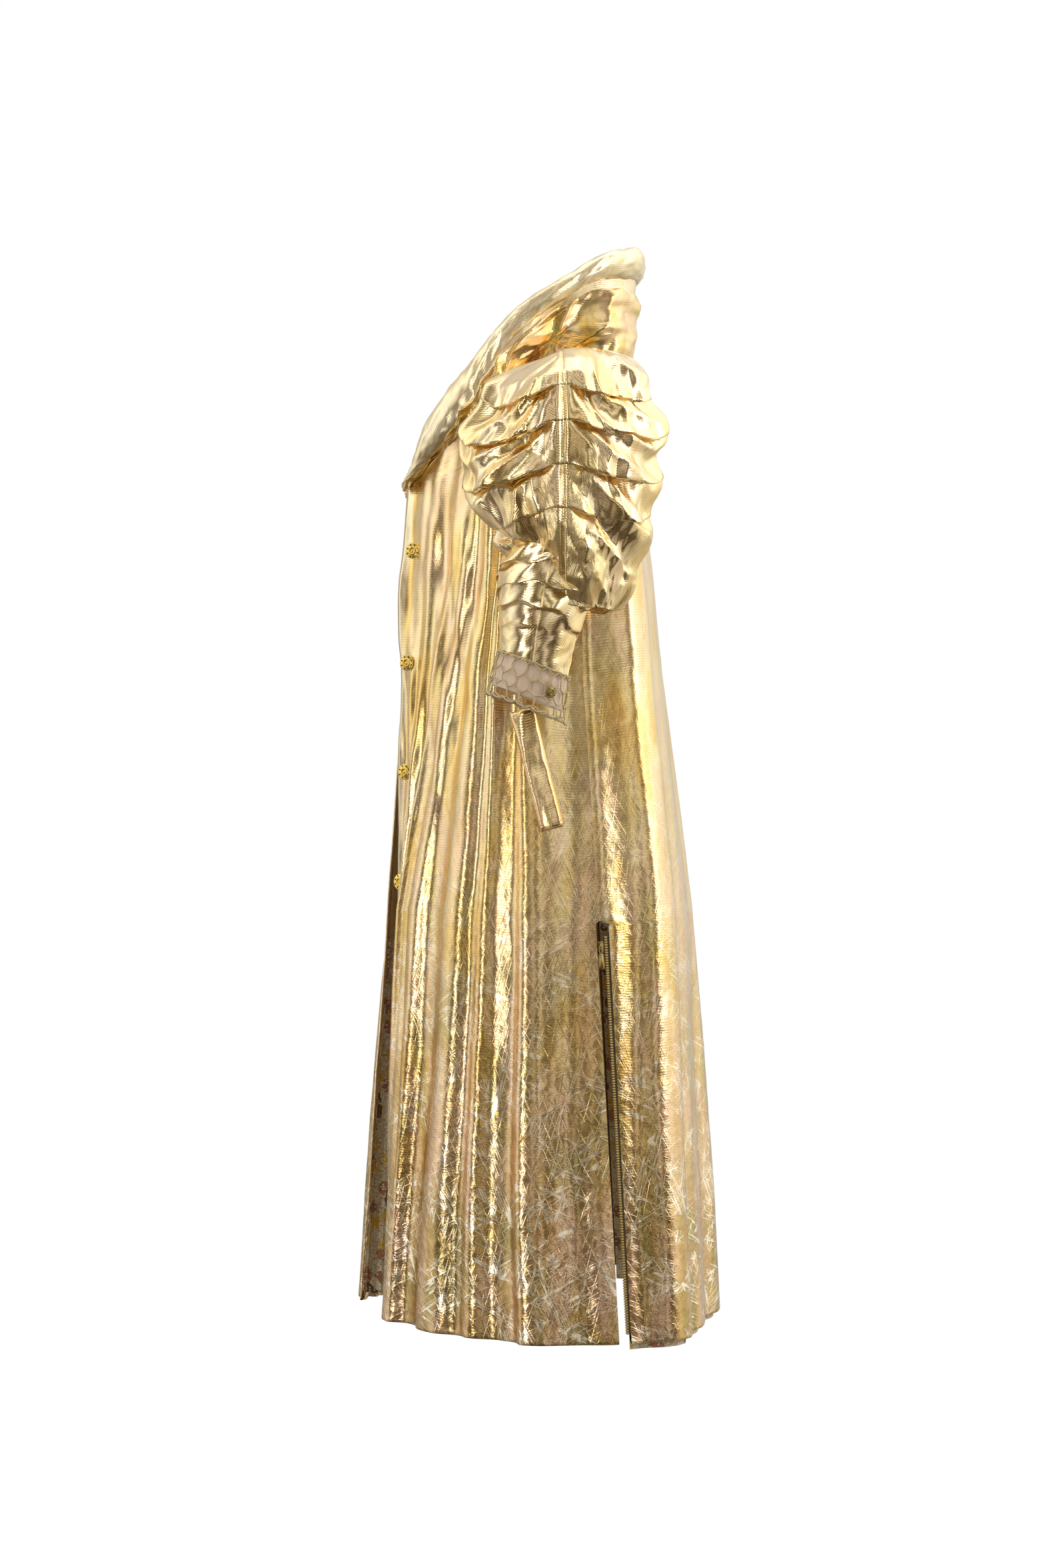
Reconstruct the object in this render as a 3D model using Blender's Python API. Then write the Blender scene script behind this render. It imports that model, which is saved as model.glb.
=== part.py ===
"""Long gold coat with a tall rolled collar, pleated puff sleeves and zipped side slits.

Heights are measured above the hem. The whole coat hangs from one empty, lowered so that
the origin lies midway between the flat undersides of the shoulder pads, where the wearer
carries it. +X is the wearer's left, -Y the front and +Z up. All lengths are in metres.
"""

import math

import bmesh
import bpy
from mathutils import Matrix, Vector

# Driving dimensions
SHOULDER_HEIGHT = 1.20
NECK_HEIGHT = 1.29
FLAP_HEIGHT = 0.55
SHELL = 0.002
LINING = 0.0014
LAYER_GAP = 0.0045
SEAM_GAP = 0.0016
LEFT, RIGHT = 1, -1

# The body's plan section at each height: half width, where the side lies, and the back
BODY_STATIONS = (
    (0.00, 0.300, 0.040, 0.245),
    (0.55, 0.246, 0.010, 0.213),
    (0.86, 0.203, 0.000, 0.178),
    (1.00, 0.198, 0.005, 0.165),
    (1.125, 0.196, 0.010, 0.150),
    (1.20, 0.194, 0.012, 0.146),
    (1.245, 0.188, 0.015, 0.143),
    (1.27, 0.152, 0.020, 0.140),
    (1.29, 0.100, 0.025, 0.134),
)
# The front band of each side: height, then x and y of its seam and of its free edge
UPPER_FRONT = (
    (0.86, 0.150, -0.118, 0.058, -0.180),
    (1.00, 0.166, -0.092, 0.055, -0.181),
    (1.125, 0.168, -0.080, 0.040, -0.170),
    (1.20, 0.164, -0.070, 0.035, -0.148),
    (1.245, 0.150, -0.055, 0.030, -0.118),
    (1.27, 0.115, -0.040, 0.022, -0.090),
    (1.29, 0.075, -0.025, 0.015, -0.062),
)
FRONT_STATIONS = {
    LEFT: ((0.00, 0.125, -0.186, 0.050, -0.165), (0.55, 0.120, -0.163, 0.058, -0.180)) + UPPER_FRONT,
    RIGHT: ((0.00, 0.150, -0.172, 0.045, -0.243), (0.55, 0.130, -0.163, 0.045, -0.204)) + UPPER_FRONT,
}
# Places along a section, counted in its control points
CENTRE_BACK, SHOULDER_SEAM, FRONT_SEAM, FRONT_EDGE = 0.0, 2.0, 4.0, 6.0
ZIP_SEAM = 1.55
NECKLINE_START = 1.125
NECKLINE_TOP = 3.0

# Armhole and sleeve
ARMHOLE_Y, ARMHOLE_Z = 0.0, 1.135
ARMHOLE_RADII = (0.080, 0.100)
SLEEVE_GAP = 0.003
# Rings of the puff: top x and z, bottom x and z, half depth, middle y
PUFF_RINGS = (
    (0.2035, 1.236, 0.2060, 1.034, 0.080, 0.000),
    (0.228, 1.268, 0.2120, 1.018, 0.112, 0.012),
    (0.276, 1.276, 0.2130, 1.004, 0.132, 0.030),
    (0.320, 1.245, 0.213, 0.992, 0.133, 0.037),
    (0.347, 1.185, 0.213, 0.980, 0.133, 0.038),
    (0.357, 1.110, 0.213, 0.969, 0.128, 0.040),
    (0.352, 1.035, 0.212, 0.960, 0.116, 0.042),
    (0.334, 0.975, 0.211, 0.953, 0.086, 0.036),
)
PUFF_COLUMNS = 9
ELBOW = Vector((0.272, 0.030, 0.985))
WRIST = Vector((0.272, -0.010, 0.812))
SLEEVE_RADII = (0.050, 0.047)
SLEEVE_END = 0.78
SATIN_START, SATIN_END, SATIN_RADIUS = 0.66, 0.97, 0.0425
NET_START, NET_END, NET_RADIUS = 0.80, 1.0, 0.0475
NET_CELLS_AROUND, NET_ROWS, NET_CORD = 16, 2, 0.0016
SLEEVE_SEGMENTS = 20

# Collar: outer edge from centre back to where it meets the front edge
COLLAR_EDGE = (
    (0.000, 0.142, 1.450),
    (0.050, 0.132, 1.447),
    (0.094, 0.098, 1.432),
    (0.119, 0.045, 1.400),
    (0.126, -0.012, 1.358),
    (0.121, -0.062, 1.305),
    (0.106, -0.105, 1.246),
    (0.078, -0.145, 1.182),
)
COLLAR_BULGE, COLLAR_GAP = 0.016, 0.004

# Shoulder pads, pockets and hanger loop
PAD_CENTRE, PAD_RADII, PAD_HEIGHT = Vector((0.118, 0.0, SHOULDER_HEIGHT)), (0.042, 0.055), 0.022
WELT_CENTRE, WELT_LENGTH, WELT_WIDTH, WELT_LEAN = (0.004, 0.736), 0.155, 0.030, math.radians(14.5)
BAG_WIDTH, BAG_HEIGHTS = 0.12, (0.60, 0.83)
LOOP_WIDTH, LOOP_DROP, LOOP_STRAP = 0.060, 0.028, 0.006

# Fasteners
SNAP_RADIUS = 0.0105
SNAP_HEIGHTS = (1.032, 0.880, 0.733, 0.585)
SNAP_FROM_EDGE = 0.020
SNAP_PROFILE = ((1.00, 0.0), (1.00, 0.0010), (0.62, 0.0014), (0.56, 0.0026), (0.34, 0.0028), (0.22, 0.0012))
STUD_PROFILE = ((1.00, 0.0), (1.00, 0.0010), (0.45, 0.0014), (0.30, 0.0024), (0.34, 0.0040), (0.20, 0.0048))
CUFF_SNAP_RADIUS = 0.0075
CUFF_SNAP_ANGLE = math.radians(48)
ZIP_TOP, ZIP_BOTTOM = 0.525, 0.012
CHAIN_WIDTH, CHAIN_THICKNESS = 0.0034, 0.0030
TAPE_WIDTH, TAPE_THICKNESS = 0.014, 0.0008
CHAIN_DEPTH = 0.0105
CHAIN_OFFSET = 0.0086
SLIT_FRONT, SLIT_BACK = 0.0045, -0.0130
SLIDER_LENGTH, SLIDER_WIDTH, SLIDER_THICKNESS = 0.018, 0.0098, 0.0044
PULL_LENGTH, PULL_WIDTH, PULL_THICKNESS = 0.030, 0.0062, 0.0016

# Material colours, roughness and metallic value
MATERIALS = {
    "gold_lame": ((0.83, 0.62, 0.24), 0.28, 0.95),
    "brocade": ((0.62, 0.45, 0.27), 0.55, 0.2),
    "facing_lame": ((0.86, 0.74, 0.48), 0.35, 0.9),
    "satin": ((0.76, 0.55, 0.43), 0.35, 0.0),
    "net_cord": ((0.70, 0.58, 0.36), 0.5, 0.4),
    "brass": ((0.85, 0.60, 0.16), 0.25, 1.0),
    "antique_brass": ((0.50, 0.37, 0.16), 0.35, 1.0),
    "zip_tape": ((0.10, 0.08, 0.05), 0.8, 0.0),
    "padding": ((0.86, 0.84, 0.80), 0.9, 0.0),
}


def clear_scene():
    for obj in list(bpy.data.objects):
        bpy.data.objects.remove(obj)


def make_materials():
    for name, (colour, roughness, metallic) in MATERIALS.items():
        material = bpy.data.materials.new(name)
        material.use_nodes = True
        shader = material.node_tree.nodes["Principled BSDF"]
        shader.inputs["Base Color"].default_value = (*colour, 1.0)
        shader.inputs["Roughness"].default_value = roughness
        shader.inputs["Metallic"].default_value = metallic


def make_coat_frame():
    """The empty that carries the coat, lowered to put the origin between the shoulders."""
    frame = bpy.data.objects.new("coat_frame", None)
    frame.location = (0.0, 0.0, -SHOULDER_HEIGHT)
    bpy.context.scene.collection.objects.link(frame)


def add_object(name, mesh, material, place=Matrix.Identity(4)):
    obj = bpy.data.objects.new(name, mesh)
    bpy.context.scene.collection.objects.link(obj)
    obj.data.materials.append(bpy.data.materials[material])
    obj.parent = bpy.data.objects["coat_frame"]
    obj.matrix_local = place
    return obj


def mesh_from(name, points, faces):
    mesh = bpy.data.meshes.new(name)
    mesh.from_pydata(points, [], faces)
    mesh.shade_smooth()
    return mesh


def add_cloth(name, points, faces, thickness, material):
    """A surface thickened on the side away from its normals, so a sheet grows inwards."""
    obj = add_object(name, mesh_from(name, points, faces), material)
    solidify = obj.modifiers.new("Cloth thickness", "SOLIDIFY")
    solidify.thickness = thickness
    solidify.offset = -1.0
    return obj


def grid_faces(rows, columns, flipped=False, closed=False):
    """Quads between rows of points; a closed grid joins its last column to the first."""
    faces = []
    for r in range(rows - 1):
        for c in range(columns if closed else columns - 1):
            low, high = r * columns, (r + 1) * columns
            following = (c + 1) % columns
            face = (low + c, low + following, high + following, high + c)
            faces.append(tuple(reversed(face)) if flipped else face)
    return faces


def add_sheet(name, rows, thickness, material, flipped=False, closed=False):
    points = [point for row in rows for point in row]
    faces = grid_faces(len(rows), len(rows[0]), flipped, closed)
    return add_cloth(name, points, faces, thickness, material)


def side_name(side):
    return "left" if side == LEFT else "right"


def evenly(start, end, count):
    return [start + (end - start) * i / (count - 1) for i in range(count)]


def station(stations, height):
    """A row of a station table at any height, straight between its stations."""
    for low, high in zip(stations, stations[1:]):
        if height <= high[0]:
            break
    share = (height - low[0]) / (high[0] - low[0])
    return [a + (b - a) * share for a, b in zip(low[1:], high[1:])]


def smooth(before, start, end, after, share):
    """Catmull-Rom between start and end."""
    bend = 2 * before - 5 * start + 4 * end - after
    turn = -before + 3 * start - 3 * end + after
    return start + 0.5 * share * ((end - before) + share * (bend + share * turn))


def section_controls(side, height):
    """The seven control points of half a plan section, from centre back to front edge."""
    half_width, side_y, back = station(BODY_STATIONS, height)
    seam_x, seam_y, edge_x, edge_y = station(FRONT_STATIONS[side], height)
    side_point, seam = Vector((half_width, side_y)), Vector((seam_x, seam_y))
    edge = Vector((edge_x, edge_y))
    back_corner = Vector((0.80 * half_width, 0.80 * back))
    front_quarter = (side_point + seam) / 2 + Vector((0.10, -0.03)) * half_width
    mid_front = (seam + edge) / 2
    return [Vector((0.0, back)), back_corner, side_point, front_quarter, seam, mid_front, edge]


def section_point(side, place, height):
    """A point of the outer surface: place runs from centre back (0) to the front edge (6)."""
    controls = section_controls(side, height)
    mirrored = Vector((-controls[1].x, controls[1].y))
    beyond = 2 * controls[-1] - controls[-2]
    controls = [mirrored, *controls, beyond]
    first = min(max(int(place), 0), 5)
    flat = smooth(*controls[first:first + 4], place - first)
    return Vector((side * flat.x, flat.y, height))


def along(side, place, height):
    """How fast the surface point moves as place grows."""
    step = 0.01
    return (section_point(side, place + step, height) - section_point(side, place - step, height)) / (2 * step)


def outward(side, place, height):
    """The horizontal outward direction of the surface."""
    tangent = along(side, place, height).normalized()
    return Vector((-tangent.y, tangent.x, 0.0)) * side


def facing_out(side, place, height):
    """The direction square to the surface, its slope included."""
    rise = section_point(side, place, height + 0.01) - section_point(side, place, height - 0.01)
    level = outward(side, place, height)
    return (level - rise.normalized() * level.dot(rise.normalized())).normalized()


def layer_point(side, place, height, inset):
    return section_point(side, place, height) - inset * facing_out(side, place, height)


def surface(side, place, height, inset=0.0):
    return section_point(side, place, height) - inset * outward(side, place, height)


def shifted(side, place, height, distance):
    """The place that lies a distance further along the section, towards the front."""
    return place + distance / along(side, place, height).length


def place_at_depth(side, height, depth, back_place, front_place):
    """The place between two others where the surface has the given y."""
    for _ in range(40):
        middle = (back_place + front_place) / 2
        if section_point(side, middle, height).y > depth:
            back_place = middle
        else:
            front_place = middle
    return back_place


def neckline_place(height):
    """Where the front panel ends above the collar's lower end."""
    share = max(0.0, (height - NECKLINE_START) / (NECK_HEIGHT - NECKLINE_START))
    return FRONT_EDGE + (NECKLINE_TOP - FRONT_EDGE) * share ** 0.8


def armhole_half_depth(height):
    reach = (height - ARMHOLE_Z) / ARMHOLE_RADII[1]
    return ARMHOLE_RADII[0] * math.sqrt(max(0.0, 1 - reach * reach))


def armhole_floor(depth):
    """The height of the armhole's lower edge at a given y."""
    reach = min(1.0, abs(depth - ARMHOLE_Y) / ARMHOLE_RADII[0])
    return ARMHOLE_Z - ARMHOLE_RADII[1] * math.sqrt(1 - reach * reach)


def slit_edge(distance_below_top, distance_above):
    """An edge of the zipped slit, closed above the zip's top."""
    def edge(side, height):
        distance = distance_below_top if height <= ZIP_TOP + 0.01 else distance_above
        return shifted(side, ZIP_SEAM, height, distance)
    return edge


back_slit_edge = slit_edge(SLIT_BACK, -SEAM_GAP / 2)
front_slit_edge = slit_edge(SLIT_FRONT, SEAM_GAP / 2)


def back_panel_end(side, height):
    """The back panel's side edge: slit and seam, then armhole, then shoulder seam."""
    if height <= ARMHOLE_Z:
        return back_slit_edge(side, height)
    half_depth = armhole_half_depth(height)
    if half_depth == 0.0:
        return shifted(side, SHOULDER_SEAM, height, -SEAM_GAP / 2)
    armhole = place_at_depth(side, height, ARMHOLE_Y + half_depth, 0.5, SHOULDER_SEAM)
    return min(armhole, shifted(side, SHOULDER_SEAM, height, -SEAM_GAP / 2))


def front_panel_start(side, height):
    """The front panel's side edge: princess seam, then armhole, then shoulder seam."""
    if height <= ARMHOLE_Z:
        return shifted(side, FRONT_SEAM, height, SEAM_GAP / 2)
    half_depth = armhole_half_depth(height)
    if half_depth == 0.0:
        return shifted(side, SHOULDER_SEAM, height, SEAM_GAP / 2)
    armhole = place_at_depth(side, height, ARMHOLE_Y - half_depth, SHOULDER_SEAM, FRONT_SEAM + 0.5)
    return max(armhole, shifted(side, SHOULDER_SEAM, height, SEAM_GAP / 2))


def fixed_place(place, distance=0.0):
    return lambda side, height: shifted(side, place, height, distance)


def front_limit(distance):
    """The free edge of the front: the band's edge, or the neckline above the collar's end."""
    return lambda side, height: shifted(side, neckline_place(height), height, -distance)


def inset_rows(rows, distance):
    """The same grid of points moved against the grid's own normals."""
    moved = []
    for r, row in enumerate(rows):
        moved.append([])
        for c, point in enumerate(row):
            across = rows[min(r + 1, len(rows) - 1)][c] - rows[max(r - 1, 0)][c]
            upwards = row[min(c + 1, len(row) - 1)] - row[max(c - 1, 0)]
            moved[-1].append(point - distance * upwards.cross(across).normalized())
    return moved


def body_panel(name, side, heights, start, end, columns, inset, thickness, material):
    """A panel of the body between two edges, each a function of side and height."""
    rows = []
    for height in heights:
        places = evenly(start(side, height), end(side, height), columns + 1)
        rows.append([layer_point(side, place, height, inset) for place in places])
    return add_sheet(f"{side_name(side)}_{name}", rows, thickness, material, flipped=side == LEFT)


def flank_panel(name, side, heights, columns, inset, thickness, material):
    """The panel under the arm, whose top edge follows the armhole."""
    rows = [[] for _ in heights]
    for column in range(columns + 1):
        share = column / columns
        for row, height in zip(rows, heights):
            ends = front_slit_edge(side, height), shifted(side, FRONT_SEAM, height, -SEAM_GAP / 2)
            place = ends[0] + (ends[1] - ends[0]) * share
            if height > 0.95:
                top = armhole_floor(section_point(side, place, ARMHOLE_Z).y) - SEAM_GAP
                height = 0.95 + (top - 0.95) * (height - 0.95) / (heights[-1] - 0.95)
            row.append(layer_point(side, place, height, inset))
    return add_sheet(f"{side_name(side)}_{name}", rows, thickness, material, flipped=side == LEFT)


def add_body(side):
    """The gold shell and its lining on one side."""
    shoulder = (1.17, 1.20, 1.225, 1.2351, 1.25, 1.27, NECK_HEIGHT)
    skirt = [0.27, ZIP_TOP + 0.01, ZIP_TOP + 0.014, 0.68, 0.86, 1.00]
    layers = (
        ("panel", 0.0, SHELL, "gold_lame", "gold_lame", 0.0),
        ("lining", SHELL + LAYER_GAP, LINING, "brocade", "facing_lame", 0.004),
    )
    for layer, inset, thickness, material, front_material, trim in layers:
        back_heights = [trim, *skirt, ARMHOLE_Z, *shoulder]
        body_panel(f"back_{layer}", side, back_heights, fixed_place(CENTRE_BACK, SEAM_GAP / 2),
                   back_panel_end, 6, inset, thickness, material)
        flank_heights = [trim, *skirt[:-1], 0.95, 1.00, ARMHOLE_Z]
        flank_panel(f"side_{layer}", side, flank_heights, 10, inset, thickness, material)
        front_heights = [FLAP_HEIGHT + SEAM_GAP / 2, 0.70, 0.86, 1.00, NECKLINE_START, *shoulder]
        body_panel(f"front_{layer}", side, front_heights, front_panel_start, front_limit(trim),
                   4, inset, thickness, front_material)
        flap_heights = [trim, 0.27, FLAP_HEIGHT - SEAM_GAP / 2]
        body_panel(f"front_flap_{layer}", side, flap_heights, front_panel_start, front_limit(trim),
                   4, inset, thickness, material)


def collar_edge_point(side, share):
    """A point of the collar's rolled edge; share runs from centre back to its front end."""
    points = [Vector(point) for point in COLLAR_EDGE]
    front_end = surface(LEFT, FRONT_EDGE, NECKLINE_START)
    points = [2 * points[0] - points[1], *points, front_end + Vector((0.004, -0.004, 0.010)), front_end]
    points[0] = Vector((-points[2].x, points[2].y, points[2].z))
    spans = len(points) - 3
    first = min(int(share * spans), spans - 1)
    point = smooth(*points[first:first + 4], share * spans - first)
    return Vector((side * point.x, point.y, point.z))


def neck_seam_point(side, share):
    """A point just above the neckline; share runs from centre back to the collar's front end."""
    back_share = 0.30
    if share <= back_share:
        place = shifted(side, CENTRE_BACK, NECK_HEIGHT, 0.0) + NECKLINE_TOP * share / back_share
        height = NECK_HEIGHT
    else:
        height = NECK_HEIGHT + (NECKLINE_START - NECK_HEIGHT) * (share - back_share) / (1 - back_share)
        place = neckline_place(height)
    lift = Vector((-0.002 * side, -0.001, 0.0035))
    return surface(side, place, height, -0.001) + lift


def add_collar(side):
    """Half of the tall collar: the outer cloth and the facing inside it."""
    columns = []
    for share in evenly(0.0, 0.985, 15):
        seam, edge = neck_seam_point(side, share), collar_edge_point(side, share)
        ahead = collar_edge_point(side, share + 0.01) - collar_edge_point(side, share - 0.01 * (share > 0))
        normal = side * (edge - seam).cross(ahead).normalized()
        column = []
        for climb in evenly(0.0, 1.0, 6):
            bulge = COLLAR_BULGE * math.sin(math.pi * climb) * min(1.0, 3 * (1 - share))
            column.append(seam.lerp(edge, climb) + normal * bulge)
        if share == 0.0:
            column = [Vector((side * SEAM_GAP / 2, p.y, p.z)) for p in column]
        columns.append(column)
    inner = inset_rows(columns, side * (SHELL + COLLAR_GAP))
    for point in inner[0]:
        point.x = side * SEAM_GAP / 2
    name = side_name(side)
    add_sheet(f"{name}_collar", columns, SHELL, "gold_lame", flipped=side == RIGHT)
    add_sheet(f"{name}_collar_facing", inner, LINING, "facing_lame", flipped=side == RIGHT)


def puff_point(side, ring, angle, inset=0.0):
    """A point of the puff; angle runs from the top (0) through the front to the bottom (pi)."""
    top_x, top_z, bottom_x, bottom_z, half_depth, middle_y = ring
    top, bottom = Vector((top_x, middle_y, top_z)), Vector((bottom_x, middle_y, bottom_z))
    middle, upward = (top + bottom) / 2, (top - bottom) / 2
    upward = upward * (1 - inset / upward.length)
    point = middle + upward * math.cos(angle) + Vector((0.0, -(half_depth - inset) * math.sin(angle), 0.0))
    return Vector((side * point.x, point.y, point.z))


def add_puff(side):
    """The pleated sleeve head in two halves, joined at a seam along its middle."""
    for half, turn in (("front", 1), ("back", -1)):
        rows = []
        for ring in PUFF_RINGS:
            margin = SEAM_GAP / (ring[1] - ring[3] + 0.1)
            angles = evenly(margin, math.pi - margin, PUFF_COLUMNS + 1)
            rows.append([puff_point(side, ring, turn * angle) for angle in angles])
        flipped = (side == LEFT) == (half == "front")
        add_sheet(f"{side_name(side)}_sleeve_head_{half}", rows, SHELL, "gold_lame", flipped=not flipped)


def sleeve_ring(side, share, radius, segments=SLEEVE_SEGMENTS, twist=0.0):
    """A ring of points around the forearm, square to its line from elbow to wrist."""
    middle = ELBOW.lerp(WRIST, share)
    down = (WRIST - ELBOW).normalized()
    across = Vector((1.0, 0.0, 0.0))
    ahead = down.cross(across)
    ring = []
    for i in range(segments):
        angle = 2 * math.pi * (i + twist) / segments
        point = middle + radius * (across * math.cos(angle) + ahead * math.sin(angle))
        ring.append(Vector((side * point.x, point.y, point.z)))
    return ring


def add_lower_sleeve(side):
    """The ruched tube on the forearm, with gentle rings of gathered cloth."""
    rows = []
    for index, share in enumerate(evenly(0.0, SLEEVE_END, 13)):
        radius = SLEEVE_RADII[0] + (SLEEVE_RADII[1] - SLEEVE_RADII[0]) * share / SLEEVE_END
        radius += 0.0012 * (index % 2)
        rows.append(sleeve_ring(side, share, radius))
    add_sheet(f"{side_name(side)}_lower_sleeve", rows, 0.002, "gold_lame", flipped=side == RIGHT, closed=True)
    satin = [sleeve_ring(side, share, SATIN_RADIUS) for share in (SATIN_START, SATIN_END)]
    add_sheet(f"{side_name(side)}_cuff", satin, LINING, "satin", flipped=side == RIGHT, closed=True)


def net_point(side, around, down):
    share = NET_START + (NET_END - NET_START) * down
    middle = ELBOW.lerp(WRIST, share)
    axis = (WRIST - ELBOW).normalized()
    across = Vector((1.0, 0.0, 0.0))
    angle = 2 * math.pi * around / NET_CELLS_AROUND
    point = middle + NET_RADIUS * (across * math.cos(angle) + axis.cross(across) * math.sin(angle))
    return Vector((side * point.x, point.y, point.z))


def add_net(side):
    """Open honeycomb of cord around the cuff; its last row of cells makes the scallops."""
    points, faces, index_of = [], [], {}

    def corner(around, down):
        key = (round(around * 12) % (NET_CELLS_AROUND * 12), round(down, 4))
        if key not in index_of:
            index_of[key] = len(points)
            points.append(net_point(side, around, down))
        return index_of[key]

    pitch = 1.0 / (NET_ROWS + 1 / 3)
    for row in range(NET_ROWS):
        centre_down = pitch * (row + 2 / 3)
        for cell in range(NET_CELLS_AROUND):
            centre_around = cell + 0.5 * (row % 2)
            shape = [(0.0, -2 / 3), (0.5, -1 / 3), (0.5, 1 / 3), (0.0, 2 / 3), (-0.5, 1 / 3), (-0.5, -1 / 3)]
            outer = [corner(centre_around + a, centre_down + pitch * d) for a, d in shape]
            inner = []
            for a, d in shape:
                inner.append(len(points))
                points.append(net_point(side, centre_around + 0.84 * a, centre_down + 0.84 * pitch * d))
            for i in range(6):
                j = (i + 1) % 6
                face = (outer[i], outer[j], inner[j], inner[i])
                faces.append(face if side == LEFT else tuple(reversed(face)))
    add_cloth(f"{side_name(side)}_cuff_net", points, faces, NET_CORD, "net_cord")


def lathe_rows(profile, radius, segments=14):
    rows = []
    for share, height in profile:
        angles = [2 * math.pi * i / segments for i in range(segments)]
        rows.append([Vector((radius * share * math.cos(a), radius * share * math.sin(a), height)) for a in angles])
    return rows


def add_turned(name, profile, radius, material, place):
    """A solid of revolution standing on its widest, flat end."""
    rows = lathe_rows(profile, radius)
    points = [point for row in rows for point in row]
    segments = len(rows[0])
    faces = grid_faces(len(rows), segments, closed=True)
    faces.append(tuple(reversed(range(segments))))
    faces.append(tuple(range(len(points) - segments, len(points))))
    return add_object(name, mesh_from(name, points, faces), material, place)


def facing(position, direction):
    """A placement whose +Z looks along direction and whose +X stays level."""
    z_axis = direction.normalized()
    x_axis = Vector((0.0, 0.0, 1.0)).cross(z_axis).normalized()
    y_axis = z_axis.cross(x_axis)
    placement = Matrix((x_axis, y_axis, z_axis)).transposed().to_4x4()
    placement.translation = position
    return placement


def add_snaps():
    """Four sockets on the left front's face and four studs on the right front's inside."""
    for number, height in enumerate(SNAP_HEIGHTS, start=1):
        place = shifted(LEFT, FRONT_EDGE, height, -SNAP_FROM_EDGE)
        normal = facing_out(LEFT, place, height)
        position = section_point(LEFT, place, height) + 0.0012 * normal
        add_turned(f"snap_socket_{number}", SNAP_PROFILE, SNAP_RADIUS, "brass", facing(position, normal))
        place = shifted(RIGHT, FRONT_EDGE, height, -SNAP_FROM_EDGE)
        normal = -facing_out(RIGHT, place, height)
        position = section_point(RIGHT, place, height) + (SHELL + LAYER_GAP + LINING + 0.0014) * normal
        add_turned(f"snap_stud_{number}", STUD_PROFILE, SNAP_RADIUS, "brass", facing(position, normal))


def add_cuff_snap(side):
    share = (NET_START + NET_END) / 2
    middle = ELBOW.lerp(WRIST, share)
    down = (WRIST - ELBOW).normalized()
    across = Vector((1.0, 0.0, 0.0))
    direction = across * math.cos(CUFF_SNAP_ANGLE) - down.cross(across) * math.sin(CUFF_SNAP_ANGLE)
    if direction.y < 0:
        direction.y = -direction.y
    position = middle + direction * (NET_RADIUS + 0.0012)
    direction.x *= side
    position.x *= side
    add_turned(f"{side_name(side)}_cuff_snap", SNAP_PROFILE, CUFF_SNAP_RADIUS, "antique_brass",
               facing(position, direction))


def add_shoulder_pad(side):
    """A half-lens with a flat underside that rests on the shoulder."""
    rows = []
    for climb in (0.0, 0.25, 0.5, 0.75):
        spread = math.sqrt(1 - climb * climb)
        angles = [2 * math.pi * i / 16 for i in range(16)]
        x_radius, y_radius = PAD_RADII
        rows.append([Vector((x_radius * spread * math.cos(a), y_radius * spread * math.sin(a),
                             PAD_HEIGHT * climb)) for a in angles])
    points = [point for row in rows for point in row]
    faces = grid_faces(len(rows), 16, closed=True)
    faces.append(tuple(reversed(range(16))))
    faces.append(tuple(range(48, 64)))
    name = f"{side_name(side)}_shoulder_pad"
    place = Matrix.Translation((side * PAD_CENTRE.x, PAD_CENTRE.y, PAD_CENTRE.z))
    add_object(name, mesh_from(name, points, faces), "padding", place)


def add_pocket(side):
    """A slanted welt on the hip and the flat bag hanging inside the lining."""
    rows = []
    for rise in evenly(-WELT_LENGTH / 2, WELT_LENGTH / 2, 6):
        row = []
        for reach in evenly(-WELT_WIDTH / 2, WELT_WIDTH / 2, 4):
            depth = WELT_CENTRE[0] - rise * math.sin(WELT_LEAN) - reach * math.cos(WELT_LEAN)
            height = WELT_CENTRE[1] + rise * math.cos(WELT_LEAN) - reach * math.sin(WELT_LEAN)
            place = place_at_depth(side, height, depth, 0.5, FRONT_SEAM)
            row.append(surface(side, place, height, -0.0034))
        rows.append(row)
    add_sheet(f"{side_name(side)}_pocket_welt", rows, 0.0022, "gold_lame", flipped=side == LEFT)
    inset = SHELL + LAYER_GAP + LINING + 0.004
    body_panel("pocket_bag", side, evenly(*BAG_HEIGHTS, 4), fixed_place(SHOULDER_SEAM, -0.02),
               fixed_place(SHOULDER_SEAM, BAG_WIDTH - 0.02), 5, inset, 0.002, "brocade")


def add_zip(side):
    """The side zip: a toothed tape on each edge of the slit, a slider and its pull."""
    half_chain, half_tape = CHAIN_THICKNESS / 2, TAPE_THICKNESS / 2
    for edge, offset, turn in (("back", -CHAIN_OFFSET, -1), ("front", CHAIN_OFFSET, 1)):
        inner, outer = -CHAIN_WIDTH / 2, CHAIN_WIDTH / 2
        profile = ((inner, -half_chain), (outer, -half_chain), (outer, -half_tape),
                   (outer + TAPE_WIDTH, -half_tape), (outer + TAPE_WIDTH, half_tape),
                   (outer, half_tape), (outer, half_chain), (inner, half_chain))
        rows = []
        for height in (ZIP_BOTTOM, ZIP_TOP):
            row = []
            for reach, depth in profile:
                place = shifted(side, ZIP_SEAM, height, offset + turn * reach)
                row.append(surface(side, place, height, CHAIN_DEPTH + depth))
            rows.append(row)
        points = [point for row in rows for point in row]
        faces = grid_faces(2, 8, flipped=turn * side > 0, closed=True)
        bottom, top = tuple(range(8)), tuple(range(8, 16))
        faces.extend((bottom, tuple(reversed(top))) if turn * side > 0 else (tuple(reversed(bottom)), top))
        name = f"{side_name(side)}_zip_{edge}"
        add_object(name, mesh_from(name, points, faces), "zip_tape")
    add_slider(side)


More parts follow.
